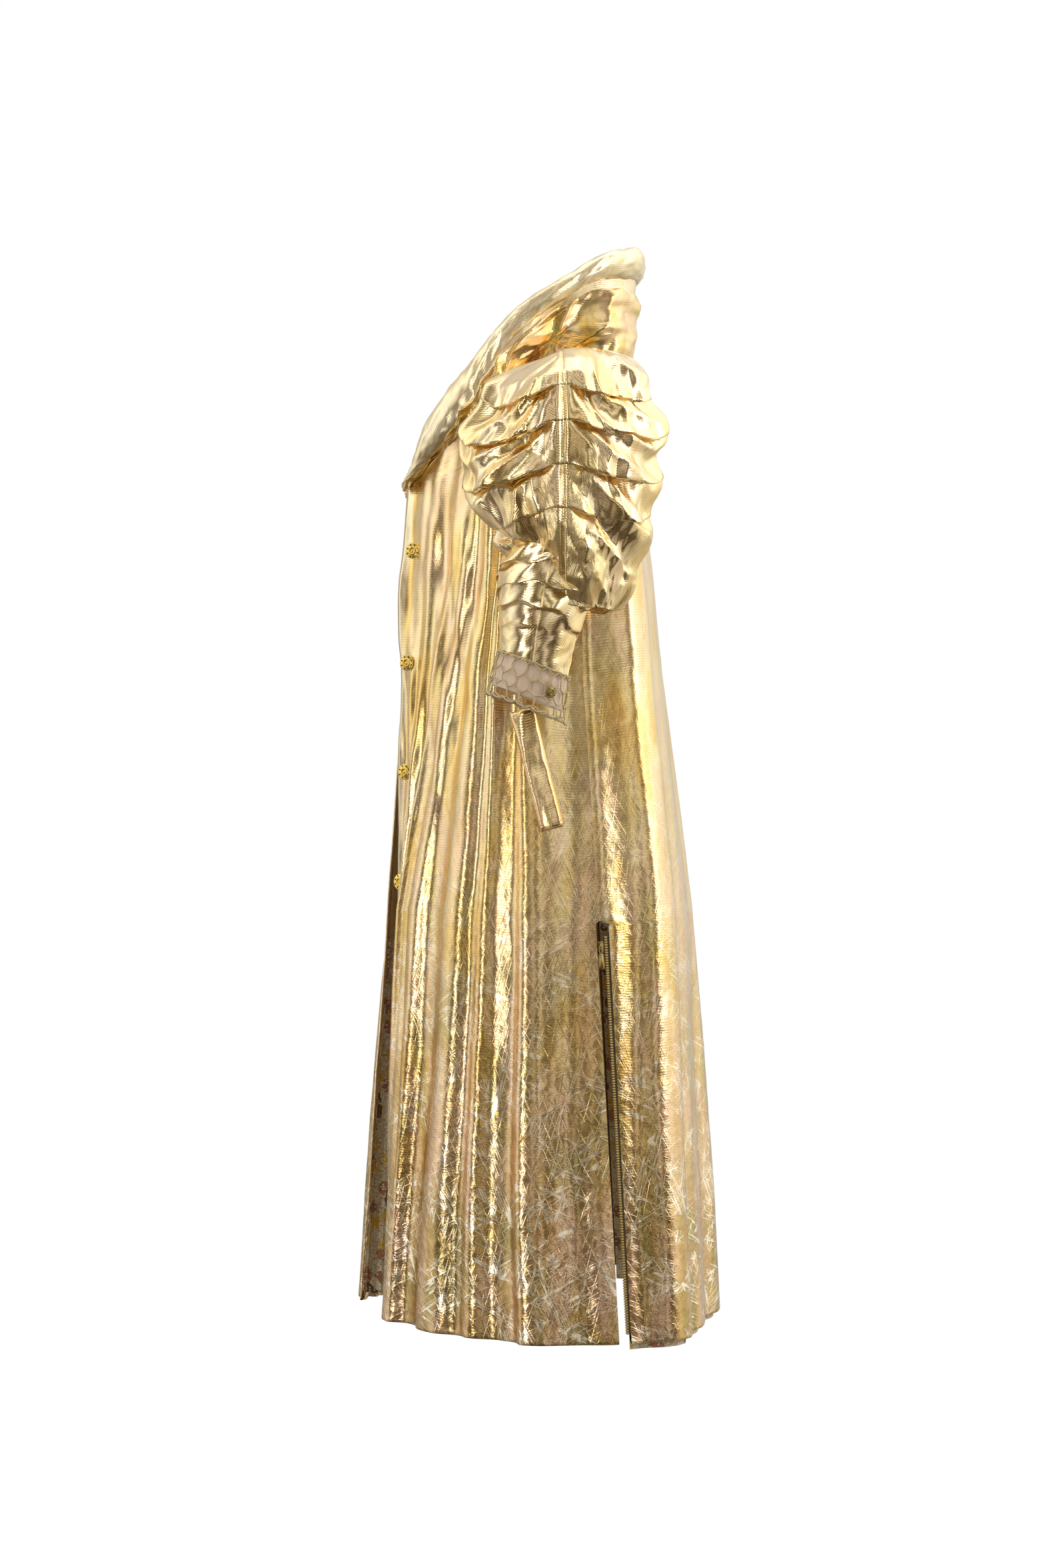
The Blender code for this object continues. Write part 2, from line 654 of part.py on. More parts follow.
def zip_placement(side, height, depth):
    """A placement on the zip's line: +Z outward, +Y up along the zip."""
    position = surface(side, ZIP_SEAM, height, depth)
    up = (section_point(side, ZIP_SEAM, ZIP_TOP) - section_point(side, ZIP_SEAM, 0.0)).normalized()
    normal = outward(side, ZIP_SEAM, height)
    x_axis = up.cross(normal).normalized()
    placement = Matrix((x_axis, up, x_axis.cross(up))).transposed().to_4x4()
    placement.translation = position
    return placement


def box_faces():
    return [(0, 3, 2, 1), (4, 5, 6, 7), (0, 1, 5, 4), (1, 2, 6, 5), (2, 3, 7, 6), (3, 0, 4, 7)]


def add_slider(side):
    half_width, length = SLIDER_WIDTH / 2, SLIDER_LENGTH
    outline = ((-0.62, 0.0), (0.62, 0.0), (1.0, 0.45), (1.0, 1.0), (-1.0, 1.0), (-1.0, 0.45))
    count = len(outline)
    points = []
    for level in (-SLIDER_THICKNESS / 2, SLIDER_THICKNESS / 2):
        points.extend(Vector((half_width * x, length * (y - 0.5), level)) for x, y in outline)
    # A low bridge in the middle of the outer face carries the pull
    bridge = [Vector((x * 0.0018, y * 0.0040, SLIDER_THICKNESS / 2)) for x, y in ((-1, -1), (1, -1), (1, 1), (-1, 1))]
    bridge_top = [point + Vector((0.0, 0.0, 0.0024)) for point in bridge]
    points.extend(bridge + bridge_top)
    base, top = 2 * count, 2 * count + 4
    faces = [tuple(reversed(range(count)))]
    for i in range(count):
        j = (i + 1) % count
        faces.append((i, j, count + j, count + i))
    ring = (0, 1, 2, 3, 4, 5)
    corners = (base, base + 1, base + 2, base + 3)
    faces.extend([
        (count + ring[0], count + ring[1], corners[1], corners[0]),
        (count + ring[1], count + ring[2], corners[1]),
        (count + ring[2], count + ring[3], corners[2], corners[1]),
        (count + ring[3], count + ring[4], corners[3], corners[2]),
        (count + ring[4], count + ring[5], corners[0], corners[3]),
        (count + ring[5], count + ring[0], corners[0]),
    ])
    for i in range(4):
        j = (i + 1) % 4
        faces.append((base + i, base + j, top + j, top + i))
    faces.append((top, top + 1, top + 2, top + 3))
    place = zip_placement(side, ZIP_TOP - 0.020, CHAIN_DEPTH + 0.0005)
    name = f"{side_name(side)}_zip_slider"
    add_object(name, mesh_from(name, points, faces), "antique_brass", place)
    add_pull(side, place)


def add_pull(side, slider_place):
    """A flat tab hanging in front of the slider from a level hinge above its bridge."""
    outline = ((-0.5, -1.0), (0.5, -1.0), (0.62, -0.8), (0.5, 0.0), (-0.5, 0.0), (-0.62, -0.8))
    front = SLIDER_THICKNESS / 2 + 0.0030
    points = []
    for level in (front, front + PULL_THICKNESS):
        points.extend(Vector((PULL_WIDTH * 0.8 * x, PULL_LENGTH * y + 0.003, level)) for x, y in outline)
    count = len(outline)
    faces = [tuple(reversed(range(count))), tuple(range(count, 2 * count))]
    for i in range(count):
        j = (i + 1) % count
        faces.append((i, j, count + j, count + i))
    name = f"{side_name(side)}_zip_pull"
    add_object(name, mesh_from(name, points, faces), "antique_brass", slider_place)


def add_hanger_loop():
    """A strap loop hanging inside the nape."""
    depth = station(BODY_STATIONS, 1.265)[2] - SHELL - LAYER_GAP - LINING - 0.0075
    rows = []
    for i in range(13):
        angle = math.pi * i / 12
        outer = Vector((LOOP_WIDTH / 2 * math.cos(angle), 0.0, -LOOP_DROP * math.sin(angle)))
        shrink = 1 - LOOP_STRAP / outer.length
        rows.append([outer, outer * shrink])
    add_points = [[point + Vector((0.0, depth, 1.262)) for point in row] for row in rows]
    add_sheet("hanger_loop", add_points, 0.0015, "satin")


def main():
    clear_scene()
    make_materials()
    make_coat_frame()
    for side in (LEFT, RIGHT):
        add_body(side)
        add_collar(side)
        add_puff(side)
        add_lower_sleeve(side)
        add_net(side)
        add_cuff_snap(side)
        add_shoulder_pad(side)
        add_pocket(side)
        add_zip(side)
    add_snaps()
    add_hanger_loop()


main()
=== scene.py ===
import math

import bpy
import numpy as np
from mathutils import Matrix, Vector


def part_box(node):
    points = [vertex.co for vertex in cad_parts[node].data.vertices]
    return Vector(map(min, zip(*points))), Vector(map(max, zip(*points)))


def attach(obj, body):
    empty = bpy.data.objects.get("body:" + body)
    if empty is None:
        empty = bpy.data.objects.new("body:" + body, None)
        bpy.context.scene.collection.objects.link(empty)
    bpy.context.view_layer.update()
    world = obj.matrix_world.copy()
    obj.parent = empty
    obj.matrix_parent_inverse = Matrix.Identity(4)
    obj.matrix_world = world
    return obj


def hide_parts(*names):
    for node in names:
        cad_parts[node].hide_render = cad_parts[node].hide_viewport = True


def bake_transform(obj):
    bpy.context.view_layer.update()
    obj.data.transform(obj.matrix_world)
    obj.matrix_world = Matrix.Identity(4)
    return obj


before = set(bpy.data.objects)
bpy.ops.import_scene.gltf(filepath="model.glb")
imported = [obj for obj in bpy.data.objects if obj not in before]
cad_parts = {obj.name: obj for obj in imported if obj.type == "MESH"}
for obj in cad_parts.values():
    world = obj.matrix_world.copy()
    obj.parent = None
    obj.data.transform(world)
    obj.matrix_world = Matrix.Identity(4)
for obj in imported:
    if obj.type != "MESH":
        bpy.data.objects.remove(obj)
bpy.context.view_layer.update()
# Heights below are metres above the hem, and the row's origin is this far above it
LIFT = 1.20
TO_ROW = np.array([0, 0, -LIFT])
NAME = {1: "left", -1: "right"}


# ---------------------------------------------------------------- noise and meshes
def hashed(ix, iy, seed):
    n = (ix.astype(np.int64) * 374761393 + iy.astype(np.int64) * 668265263 + seed * 1442695041) & 0x7FFFFFFF
    n = ((n ^ (n >> 13)) * 1274126177) & 0x7FFFFFFF
    return ((n ^ (n >> 16)) & 0xFFFF) / 32767.5 - 1.0


def noise(u, v, seed=0):
    """Smooth value noise in -1..1 on a unit lattice."""
    u, v = np.broadcast_arrays(np.asarray(u, float), np.asarray(v, float))
    iu, iv = np.floor(u), np.floor(v)
    fu, fv = u - iu, v - iv
    fu, fv = fu * fu * (3 - 2 * fu), fv * fv * (3 - 2 * fv)
    a, b = hashed(iu, iv, seed), hashed(iu + 1, iv, seed)
    c, d = hashed(iu, iv + 1, seed), hashed(iu + 1, iv + 1, seed)
    return (a * (1 - fu) + b * fu) * (1 - fv) + (c * (1 - fu) + d * fu) * fv


def facets(u, v, seed=0):
    """Flat triangular facets with crisp creases, in -1..1, as in crumpled foil."""
    u, v = np.broadcast_arrays(np.asarray(u, float), np.asarray(v, float))
    s = (u + v) * 0.3660254
    iu, iv = np.floor(u + s), np.floor(v + s)
    fu, fv = u + s - iu, v + s - iv
    a, d = hashed(iu, iv, seed), hashed(iu + 1, iv + 1, seed)
    b, c = hashed(iu + 1, iv, seed), hashed(iu, iv + 1, seed)
    lower = a + (b - a) * fu + (d - b) * fv
    upper = a + (c - a) * fv + (d - c) * fu
    return np.where(fu > fv, lower, upper)


def smoothstep(edge0, edge1, x):
    t = np.clip((np.asarray(x, float) - edge0) / (edge1 - edge0), 0, 1)
    return t * t * (3 - 2 * t)


def link(obj):
    bpy.context.scene.collection.objects.link(obj)
    return obj


def mesh_obj(name, verts, faces, mat, uv=None, smooth=True):
    name = name.replace(" ", "_")
    mesh = bpy.data.meshes.new(name)
    mesh.from_pydata([tuple(map(float, p)) for p in verts], [], faces)
    if uv is not None:
        layer = mesh.uv_layers.new(name="cloth")
        index = np.empty(len(mesh.loops), dtype=np.int32)
        mesh.loops.foreach_get("vertex_index", index)
        layer.data.foreach_set("uv", np.asarray(uv, dtype=np.float32)[index].ravel())
    if smooth:
        mesh.shade_smooth()
    mesh.materials.append(mat)
    mesh.update()
    return link(bpy.data.objects.new(name, mesh))


def grid(name, P, mat, uv, closed=False, keep=None, flip=False):
    """A cloth surface from a rows x columns x 3 array, with its own flat coordinates in metres."""
    rows, cols = P.shape[:2]
    faces = []
    for r in range(rows - 1):
        for c in range(cols if closed else cols - 1):
            d = (c + 1) % cols
            if keep is not None and not keep[r, c]:
                continue
            f = (r * cols + c, r * cols + d, (r + 1) * cols + d, (r + 1) * cols + c)
            faces.append(f[::-1] if flip else f)
    verts = P.reshape(-1, 3) + TO_ROW
    return mesh_obj(name, verts, faces, mat, uv.reshape(-1, 2))


def flat_uv(P, offset=0.0):
    """Flat coordinates in metres: arc length along the rows and up the columns."""
    across = np.zeros(P.shape[:2])
    across[:, 1:] = np.cumsum(np.linalg.norm(np.diff(P, axis=1), axis=2), axis=1)
    across -= across[:, across.shape[1] // 2][:, None]
    up = np.zeros(P.shape[:2])
    up[1:] = np.cumsum(np.linalg.norm(np.diff(P, axis=0), axis=2), axis=0)
    return np.stack([across + offset, up + offset * 3.7], axis=2)


def joined(name, parts, mat, smooth=True):
    """One mesh from several (vertices, faces) pairs."""
    verts, faces, base = [], [], 0
    for v, f in parts:
        verts.extend(v)
        faces.extend([tuple(i + base for i in face) for face in f])
        base += len(v)
    return mesh_obj(name, verts, faces, mat, smooth=smooth)


def box_part(centre, half, axes):
    c = np.asarray(centre)
    signs = [(-1, -1, -1), (1, -1, -1), (1, 1, -1), (-1, 1, -1),
             (-1, -1, 1), (1, -1, 1), (1, 1, 1), (-1, 1, 1)]
    v = [c + sum(s * h * np.asarray(a) for s, h, a in zip(sg, half, axes)) for sg in signs]
    return v, [(0, 3, 2, 1), (4, 5, 6, 7), (0, 1, 5, 4), (1, 2, 6, 5), (2, 3, 7, 6), (3, 0, 4, 7)]


def rings_part(verts, rings, sides, closed=False):
    """Quads between rings of vertices, with flat ends unless the rings close on themselves."""
    f = []
    for i in range(rings if closed else rings - 1):
        j = (i + 1) % rings
        for k in range(sides):
            m = (k + 1) % sides
            f.append((i * sides + k, i * sides + m, j * sides + m, j * sides + k))
    if not closed:
        f.append(tuple(range(sides))[::-1])
        f.append(tuple(range((rings - 1) * sides, rings * sides)))
    return list(verts), f


def prism_part(low, high):
    """A closed solid between two matching outlines."""
    m = len(low)
    ends = [tuple(range(m))[::-1], tuple(range(m, 2 * m))]
    return [*low, *high], ends + [(i, (i + 1) % m, m + (i + 1) % m, m + i) for i in range(m)]


def tube_part(points, radius, sides=6, closed=False):
    """A round tube through points; radius is a number or one per point."""
    p = np.asarray(points, float)
    n = len(p)
    r = np.broadcast_to(np.asarray(radius, float), (n,))
    t = np.roll(p, -1, 0) - np.roll(p, 1, 0) if closed else np.gradient(p, axis=0)
    t /= np.linalg.norm(t, axis=1)[:, None] + 1e-12
    ref = np.array([0.31, 0.57, 0.76])
    a = np.cross(t, ref)
    a /= np.linalg.norm(a, axis=1)[:, None] + 1e-12
    b = np.cross(t, a)
    ang = 2 * math.pi * np.arange(sides) / sides
    ring = a[:, None] * np.cos(ang)[None, :, None] + b[:, None] * np.sin(ang)[None, :, None]
    return rings_part((p[:, None] + r[:, None, None] * ring).reshape(-1, 3), n, sides, closed)


def dress(obj, body, slot, *nodes):
    """Hides the nodes that a piece stands for and hangs it on the body it rides on; slot is not used."""
    if nodes:
        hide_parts(*nodes)
    if body:
        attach(obj, body)
    return obj


# ---------------------------------------------------------------- materials
def node_material(name):
    mat = bpy.data.materials.new(name)
    mat.use_nodes = True
    nt = mat.node_tree
    return mat, nt, nt.nodes["Principled BSDF"]


class Nodes:
    def __init__(self, nt):
        self.nt = nt

    def add(self, kind, inputs=None, **props):
        n = self.nt.nodes.new(kind)
        for k, v in props.items():
            setattr(n, k, v)
        for k, v in (inputs or {}).items():
            if isinstance(v, bpy.types.NodeSocket):
                self.nt.links.new(v, n.inputs[k])
            else:
                n.inputs[k].default_value = v
        return n

    def math(self, op, a, b=0.5, clamp=False):
        return self.add("ShaderNodeMath", {0: a, 1: b}, operation=op, use_clamp=clamp).outputs[0]

    def mul(self, a, b, clamp=False):
        return self.math("MULTIPLY", a, b, clamp)

    def plus(self, a, b):
        return self.math("ADD", a, b)

    def minus(self, a, b, clamp=False):
        return self.math("SUBTRACT", a, b, clamp)

    def vector(self, op, a, b):
        return self.add("ShaderNodeVectorMath", {0: a, 1: b}, operation=op).outputs[0]

    def cells(self, vec, scale, randomness=1.0):
        return self.add("ShaderNodeTexVoronoi", {"Vector": vec, "Scale": scale, "Randomness": randomness},
                        feature="F1", voronoi_dimensions="2D")

    def bump(self, bsdf, height, strength):
        node = self.add("ShaderNodeBump", {"Height": height, "Strength": strength, "Distance": 1.0})
        self.nt.links.new(node.outputs[0], bsdf.inputs["Normal"])

    def ramp(self, fac, stops):
        n = self.add("ShaderNodeValToRGB", {"Fac": fac})
        e = n.color_ramp.elements
        e[0].position, e[1].position = stops[0][0], stops[-1][0]
        e[0].color, e[1].color = (*stops[0][1], 1), (*stops[-1][1], 1)
        for pos, col in stops[1:-1]:
            e.new(pos).color = (*col, 1)
        return n.outputs["Color"]

    def mix(self, fac, a, b):
        n = self.add("ShaderNodeMix", data_type="RGBA")
        for key, v in ((0, fac), (6, a), (7, b)):
            if isinstance(v, bpy.types.NodeSocket):
                self.nt.links.new(v, n.inputs[key])
            else:
                n.inputs[key].default_value = v if key == 0 else (*v, 1.0)
        return n.outputs[2]

    def noise(self, vec, scale, detail=3.0, rough=0.55, stretch=None, turn=0.0):
        if stretch or turn:
            vec = self.add("ShaderNodeMapping", {"Vector": vec, "Rotation": (0, 0, turn),
                                                 "Scale": (*(stretch or (1, 1)), 1)}).outputs[0]
        return self.add("ShaderNodeTexNoise", {"Vector": vec, "Scale": scale, "Detail": detail,
                                               "Roughness": rough}).outputs["Fac"]


# The row's height where the lower skirt starts to turn darker and browner, and the height over which it gets
# there
HEM_TONE_START, HEM_TONE_SPAN = -0.35, 0.75
RIB_PITCH = 0.0034


def lame(name, pale=0.5, ribs=0.5, crumple=0.5, rough=0.24):
    """Metallic foil cloth: pale and deep gold, rose and olive patches, level ribs, long creases, with a
    painted pale tint where lit and painted highlights along the creases.
    """
    mat, nt, bsdf = node_material(name)
    k = Nodes(nt)
    vec = k.add("ShaderNodeUVMap", uv_map="cloth").outputs[0]
    patch = k.noise(vec, 9.0, 2.0, stretch=(2.2, 0.5))
    tone = k.ramp(patch, [(0.28, (0.80, 0.47, 0.10)), (0.42, (0.86, 0.58, 0.17)), (0.50, (0.90, 0.69, 0.32)),
                          (0.58, (0.87, 0.61, 0.35)), (0.66, (0.82, 0.55, 0.20)), (0.76, (0.66, 0.55, 0.20))])
    # Painted highlight on the gold lamé: pale turns the colour towards pale champagne where a piece is lit
    tone = k.mix(pale * 0.75, tone, (0.95, 0.84, 0.60))
    # Towards the hem the foil is darker, browner and more crumpled
    level = k.add("ShaderNodeSeparateXYZ", {0: k.add("ShaderNodeTexCoord").outputs["Object"]}).outputs[2]
    low = k.math("DIVIDE", k.minus(HEM_TONE_START, level), HEM_TONE_SPAN, clamp=True)
    brown = k.ramp(k.noise(vec, 13.0, 2.0, stretch=(2.2, 0.45)), [
        (0.36, (0.30, 0.23, 0.08)), (0.48, (0.50, 0.32, 0.13)), (0.60, (0.70, 0.46, 0.31))])
    tone = k.mix(k.mul(low, 0.78), tone, brown)
    # Small dark brown flecks over the whole cloth
    dark_flecks = k.minus(k.noise(vec, 160.0, 3.0, stretch=(1.0, 0.35), turn=0.5), 0.56, clamp=True)
    tone = k.mix(k.mul(dark_flecks, 2.0, clamp=True), tone, (0.45, 0.28, 0.08))
    bsdf.inputs["Metallic"].default_value = 1.0
    nt.links.new(k.plus(k.mul(k.noise(vec, 60.0, 3.0), 0.16), rough - 0.07), bsdf.inputs["Roughness"])
    # Level ribs, uneven in pitch
    y = k.plus(k.add("ShaderNodeSeparateXYZ", {0: vec}).outputs[1], k.mul(k.noise(vec, 22.0, 2.0), 0.010))
    rib = k.math("SINE", k.mul(y, 2 * math.pi / RIB_PITCH), 0.0)
    rib = k.mul(rib, k.mul(k.noise(vec, 120.0, 2.0, stretch=(0.35, 2.5)), 1.5))
    # Long fine creases at several angles, which also carry a painted highlight in the colour
    lines = None
    for turn, seed in ((0.5, 3.1), (-0.42, 7.7), (1.25, 13.3), (-1.1, 1.9)):
        m = k.add("ShaderNodeMapping", {"Vector": vec, "Rotation": (0, 0, turn)}).outputs[0]
        m = k.add("ShaderNodeMapping", {"Vector": m, "Location": (seed, seed * 2, 0),
                                        "Scale": (5.0, 75.0, 1)}).outputs[0]
        n = k.add("ShaderNodeTexNoise", {"Vector": m, "Scale": 1.0, "Detail": 1.5}).outputs["Fac"]
        ridge = k.mul(k.math("ABSOLUTE", k.minus(n, 0.5), 0.0), 30.0)
        ridge = k.minus(1.0, ridge, clamp=True)
        lines = ridge if lines is None else k.math("MAXIMUM", lines, ridge)
    patchy = k.math("GREATER_THAN", k.noise(vec, 14.0, 2.0), 0.47)
    # Painted highlight: pale champagne along the creases, in patches, stronger towards the hem
    crease_highlight = k.mul(k.math("GREATER_THAN", lines, 0.74), patchy)
    tone = k.mix(k.mul(crease_highlight, k.plus(0.08, k.mul(low, 0.80))), tone, (0.95, 0.86, 0.68))
    nt.links.new(tone, bsdf.inputs["Base Color"])
    # Crumpled foil
    fine, coarse = (k.cells(vec, scale).outputs["Distance"] for scale in (85.0, 34.0))
    foil = k.plus(fine, k.mul(coarse, 1.7))
    torn = k.plus(k.mul(lines, 0.00042 * crumple), k.mul(foil, 0.0016 * crumple))
    torn = k.plus(torn, k.mul(k.noise(vec, 210.0, 3.0, 0.6), 0.00052 * crumple))
    height = k.mul(k.mul(rib, 0.00015 * ribs), k.minus(1.0, k.mul(low, 0.65)))
    k.bump(bsdf, k.plus(height, k.mul(torn, k.plus(0.24, k.mul(low, 0.62)))), 0.75)
    return mat


def brocade(name):
    """Cream ground with embroidered flowers in gold, yellow, rose and dark brown, and sequins."""
    mat, nt, bsdf = node_material(name)
    k = Nodes(nt)
    vec = k.add("ShaderNodeUVMap", uv_map="cloth").outputs[0]
    bend = k.add("ShaderNodeTexNoise", {"Vector": vec, "Scale": 60.0, "Detail": 2.0}).outputs["Color"]
    shift = k.add("ShaderNodeVectorMath", {0: bend, "Scale": 0.008}, operation="SCALE").outputs[0]
    cell = k.cells(k.vector("ADD", vec, shift), 42.0, 0.9)
    pick = k.add("ShaderNodeSeparateColor", {0: cell.outputs["Color"]}).outputs[0]
    flower = k.ramp(pick, [(0.00, (0.20, 0.09, 0.04)), (0.22, (0.20, 0.09, 0.04)), (0.24, (0.80, 0.50, 0.04)),
                           (0.50, (0.82, 0.54, 0.07)), (0.52, (0.52, 0.22, 0.13)), (0.70, (0.42, 0.18, 0.09)),
                           (0.72, (0.84, 0.74, 0.50)), (1.0, (0.90, 0.82, 0.62))])
    ground = k.ramp(k.noise(vec, 260.0, 2.0), [(0.40, (0.50, 0.36, 0.20)), (0.50, (0.88, 0.78, 0.58)),
                                               (0.62, (0.66, 0.52, 0.32))])
    col = k.mix(k.math("LESS_THAN", cell.outputs["Distance"], 0.43), ground, flower)
    sequin = k.cells(vec, 310.0, 0.35)
    disc = k.math("LESS_THAN", sequin.outputs["Distance"], 0.40)
    glint_pick = k.add("ShaderNodeSeparateColor", {0: sequin.outputs["Color"]}).outputs[1]
    # Painted highlight: a random share of the sequins is painted near white as glints
    col = k.mix(k.mul(k.math("GREATER_THAN", glint_pick, 0.72), disc), col, (0.98, 0.93, 0.80))
    col = k.mix(k.mul(k.math("LESS_THAN", disc, 0.5), 0.28), col, (0.30, 0.18, 0.08))
    nt.links.new(col, bsdf.inputs["Base Color"])
    nt.links.new(k.mul(disc, 0.30), bsdf.inputs["Metallic"])
    bsdf.inputs["Roughness"].default_value = 0.34
    h = k.mul(k.minus(0.4, sequin.outputs["Distance"], clamp=True), 0.004)
    k.bump(bsdf, k.plus(h, k.mul(k.minus(0.5, cell.outputs["Distance"], clamp=True), 0.006)), 0.8)
    return mat


def plain(name, colour, rough=0.4, metallic=0.0, bump=0.0, scale=900.0, sheen=0.0, vary=0.12):
    mat, nt, bsdf = node_material(name)
    k = Nodes(nt)
    vec = k.add("ShaderNodeTexCoord").outputs["Object"]
    n = k.noise(vec, scale * 0.35, 3.0)
    dark = tuple(c * (1 - vary) for c in colour)
    nt.links.new(k.mix(n, dark, colour), bsdf.inputs["Base Color"])
    bsdf.inputs["Roughness"].default_value = rough
    bsdf.inputs["Metallic"].default_value = metallic
    if sheen:
        bsdf.inputs["Sheen Weight"].default_value = sheen
    if bump:
        k.bump(bsdf, k.mul(k.noise(vec, scale, 3.0), bump), 0.7)
    return mat


# The gold lamé comes in lit and shaded copies: pale is painted highlight, strongest on the lit collar roll
# and front edge binding, less on the sleeves, least on the body, none on the shaded under collar
SHELL = lame("shell gold", pale=0.15, ribs=0.55, crumple=0.50)
SHELL_SLEEVE = lame("sleeve gold", pale=0.50, ribs=0.35, crumple=0.35, rough=0.20)
ROLL = lame("collar roll gold painted highlight", pale=0.95, ribs=0.30, crumple=0.30, rough=0.30)
UNDER = lame("under collar gold painted shade", pale=0.0, ribs=0.30, crumple=0.40, rough=0.24)
FACING = lame("facing gold", pale=0.8, ribs=0.4, crumple=0.3, rough=0.32)
BROCADE = brocade("floral brocade")
SATIN = plain("cuff satin", (0.90, 0.70, 0.54), 0.38, 0.0, 0.0004, 700.0, sheen=0.3)
CORD = plain("net cord", (0.88, 0.72, 0.42), 0.42, 0.45, 0.0006, 1500.0, vary=0.45)
BRASS = plain("snap brass", (0.93, 0.66, 0.16), 0.20, 1.0, 0.0002, 1200.0)
ANTIQUE = plain("antique brass", (0.50, 0.36, 0.14), 0.32, 1.0, 0.0003, 1200.0, vary=0.5)
TEETH = plain("zip teeth brass", (0.86, 0.64, 0.26), 0.34, 1.0, 0.0002, 1500.0, vary=0.35)
TAPE = plain("zip tape", (0.13, 0.09, 0.05), 0.85, 0.0, 0.0005, 1600.0)
DARK = plain("hole shadow", (0.06, 0.035, 0.01), 0.8, 0.2)
THREAD = plain("sewing thread", (0.85, 0.62, 0.22), 0.6, 0.1, 0.0004, 2500.0)
PAD = plain("shoulder pad felt", (0.86, 0.84, 0.80), 0.95, 0.0, 0.0008, 500.0)

# ---------------------------------------------------------------- the body's shape
STATIONS = np.array([
    (0.00, 0.300, 0.040, 0.245), (0.55, 0.246, 0.010, 0.213), (0.86, 0.203, 0.000, 0.178),
    (1.00, 0.198, 0.005, 0.165), (1.125, 0.196, 0.010, 0.150), (1.20, 0.194, 0.012, 0.146),
    (1.245, 0.188, 0.015, 0.143), (1.27, 0.152, 0.020, 0.140), (1.29, 0.100, 0.025, 0.134)])
UPPER = [(0.86, 0.150, -0.118, 0.058, -0.180), (1.00, 0.166, -0.092, 0.055, -0.181),
         (1.125, 0.168, -0.080, 0.040, -0.170), (1.20, 0.164, -0.070, 0.035, -0.148),
         (1.245, 0.150, -0.055, 0.030, -0.118), (1.27, 0.115, -0.040, 0.022, -0.090),
         (1.29, 0.075, -0.025, 0.015, -0.062)]
FRONTS = {1: np.array([(0.00, 0.125, -0.190, 0.050, -0.170), (0.55, 0.120, -0.166, 0.058, -0.184)] + UPPER),
          -1: np.array([(0.00, 0.150, -0.172, 0.045, -0.243), (0.55, 0.130, -0.163, 0.045, -0.204)] + UPPER)}
ZIP_PLACE, SHOULDER_PLACE, SEAM_PLACE, EDGE_PLACE = 1.55, 2.0, 4.0, 6.0
ZIP_TOP = 0.525
NECK_START, NECK_TOP, NECK_H = 1.125, 3.0, 1.29
# The armhole: its centre's height, its radii, and how far the cloth reaches into it
ARM_Z, ARM_RY, ARM_RZ, ARM_LAP = 1.135, 0.080, 0.100, 0.006


def base_point(side, place, h):
    """The coat's smooth outer surface; place runs from centre back (0) to the front edge (6)."""
    place, h = np.broadcast_arrays(np.asarray(place, float), np.asarray(h, float))
    st = [np.interp(h, STATIONS[:, 0], STATIONS[:, i]) for i in (1, 2, 3)]
    fr = [np.interp(h, FRONTS[side][:, 0], FRONTS[side][:, i]) for i in (1, 2, 3, 4)]
    hw, sy, back = st
    corner = np.stack([0.80 * hw, 0.80 * back], -1)
    sidep, seam = np.stack([hw, sy], -1), np.stack([fr[0], fr[1]], -1)
    edge = np.stack([fr[2], fr[3]], -1)
    quarter = (sidep + seam) / 2 + np.stack([0.10 * hw, -0.03 * hw], -1)
    mid = (seam + edge) / 2
    mirror = corner * np.array([-1, 1])
    centre = np.stack([np.zeros_like(back), back], -1)
    ctrl = np.stack([mirror, centre, corner, sidep, quarter, seam, mid, edge, 2 * edge - mid])
    first = np.clip(np.floor(place), 0, 5).astype(int)
    t = (place - first)[..., None]
    pick = lambda i: np.take_along_axis(ctrl, (first + i)[None, ..., None].repeat(2, -1), 0)[0]
    a, b, c, d = pick(0), pick(1), pick(2), pick(3)
    p = b + 0.5 * t * ((c - a) + t * ((2 * a - 5 * b + 4 * c - d) + t * (-a + 3 * b - 3 * c + d)))
    return np.stack([side * p[..., 0], p[..., 1], h + 0 * place], -1)


def out_dir(side, place, h):
    e = 0.02
    dp = base_point(side, place + e, h) - base_point(side, place - e, h)
    dh = base_point(side, place, h + e) - base_point(side, place, np.maximum(h - e, 0.0))
    n = -side * np.cross(dp, dh)
    return n / (np.linalg.norm(n, axis=-1)[..., None] + 1e-12)


def folds(side, place, h):
    """How far the cloth stands off its smooth shape; the two halves agree at the centre back."""
    own = smoothstep(0.0, 0.6, place)
    beside_zip = np.exp(-((place - ZIP_PLACE) / 0.17) ** 2) * (1 - smoothstep(ZIP_TOP, ZIP_TOP + 0.08, h))
    calm = 1 - 0.92 * beside_zip
    return calm * (own * half_folds(side, place, h) + (1 - own) * half_folds(1, place, h))


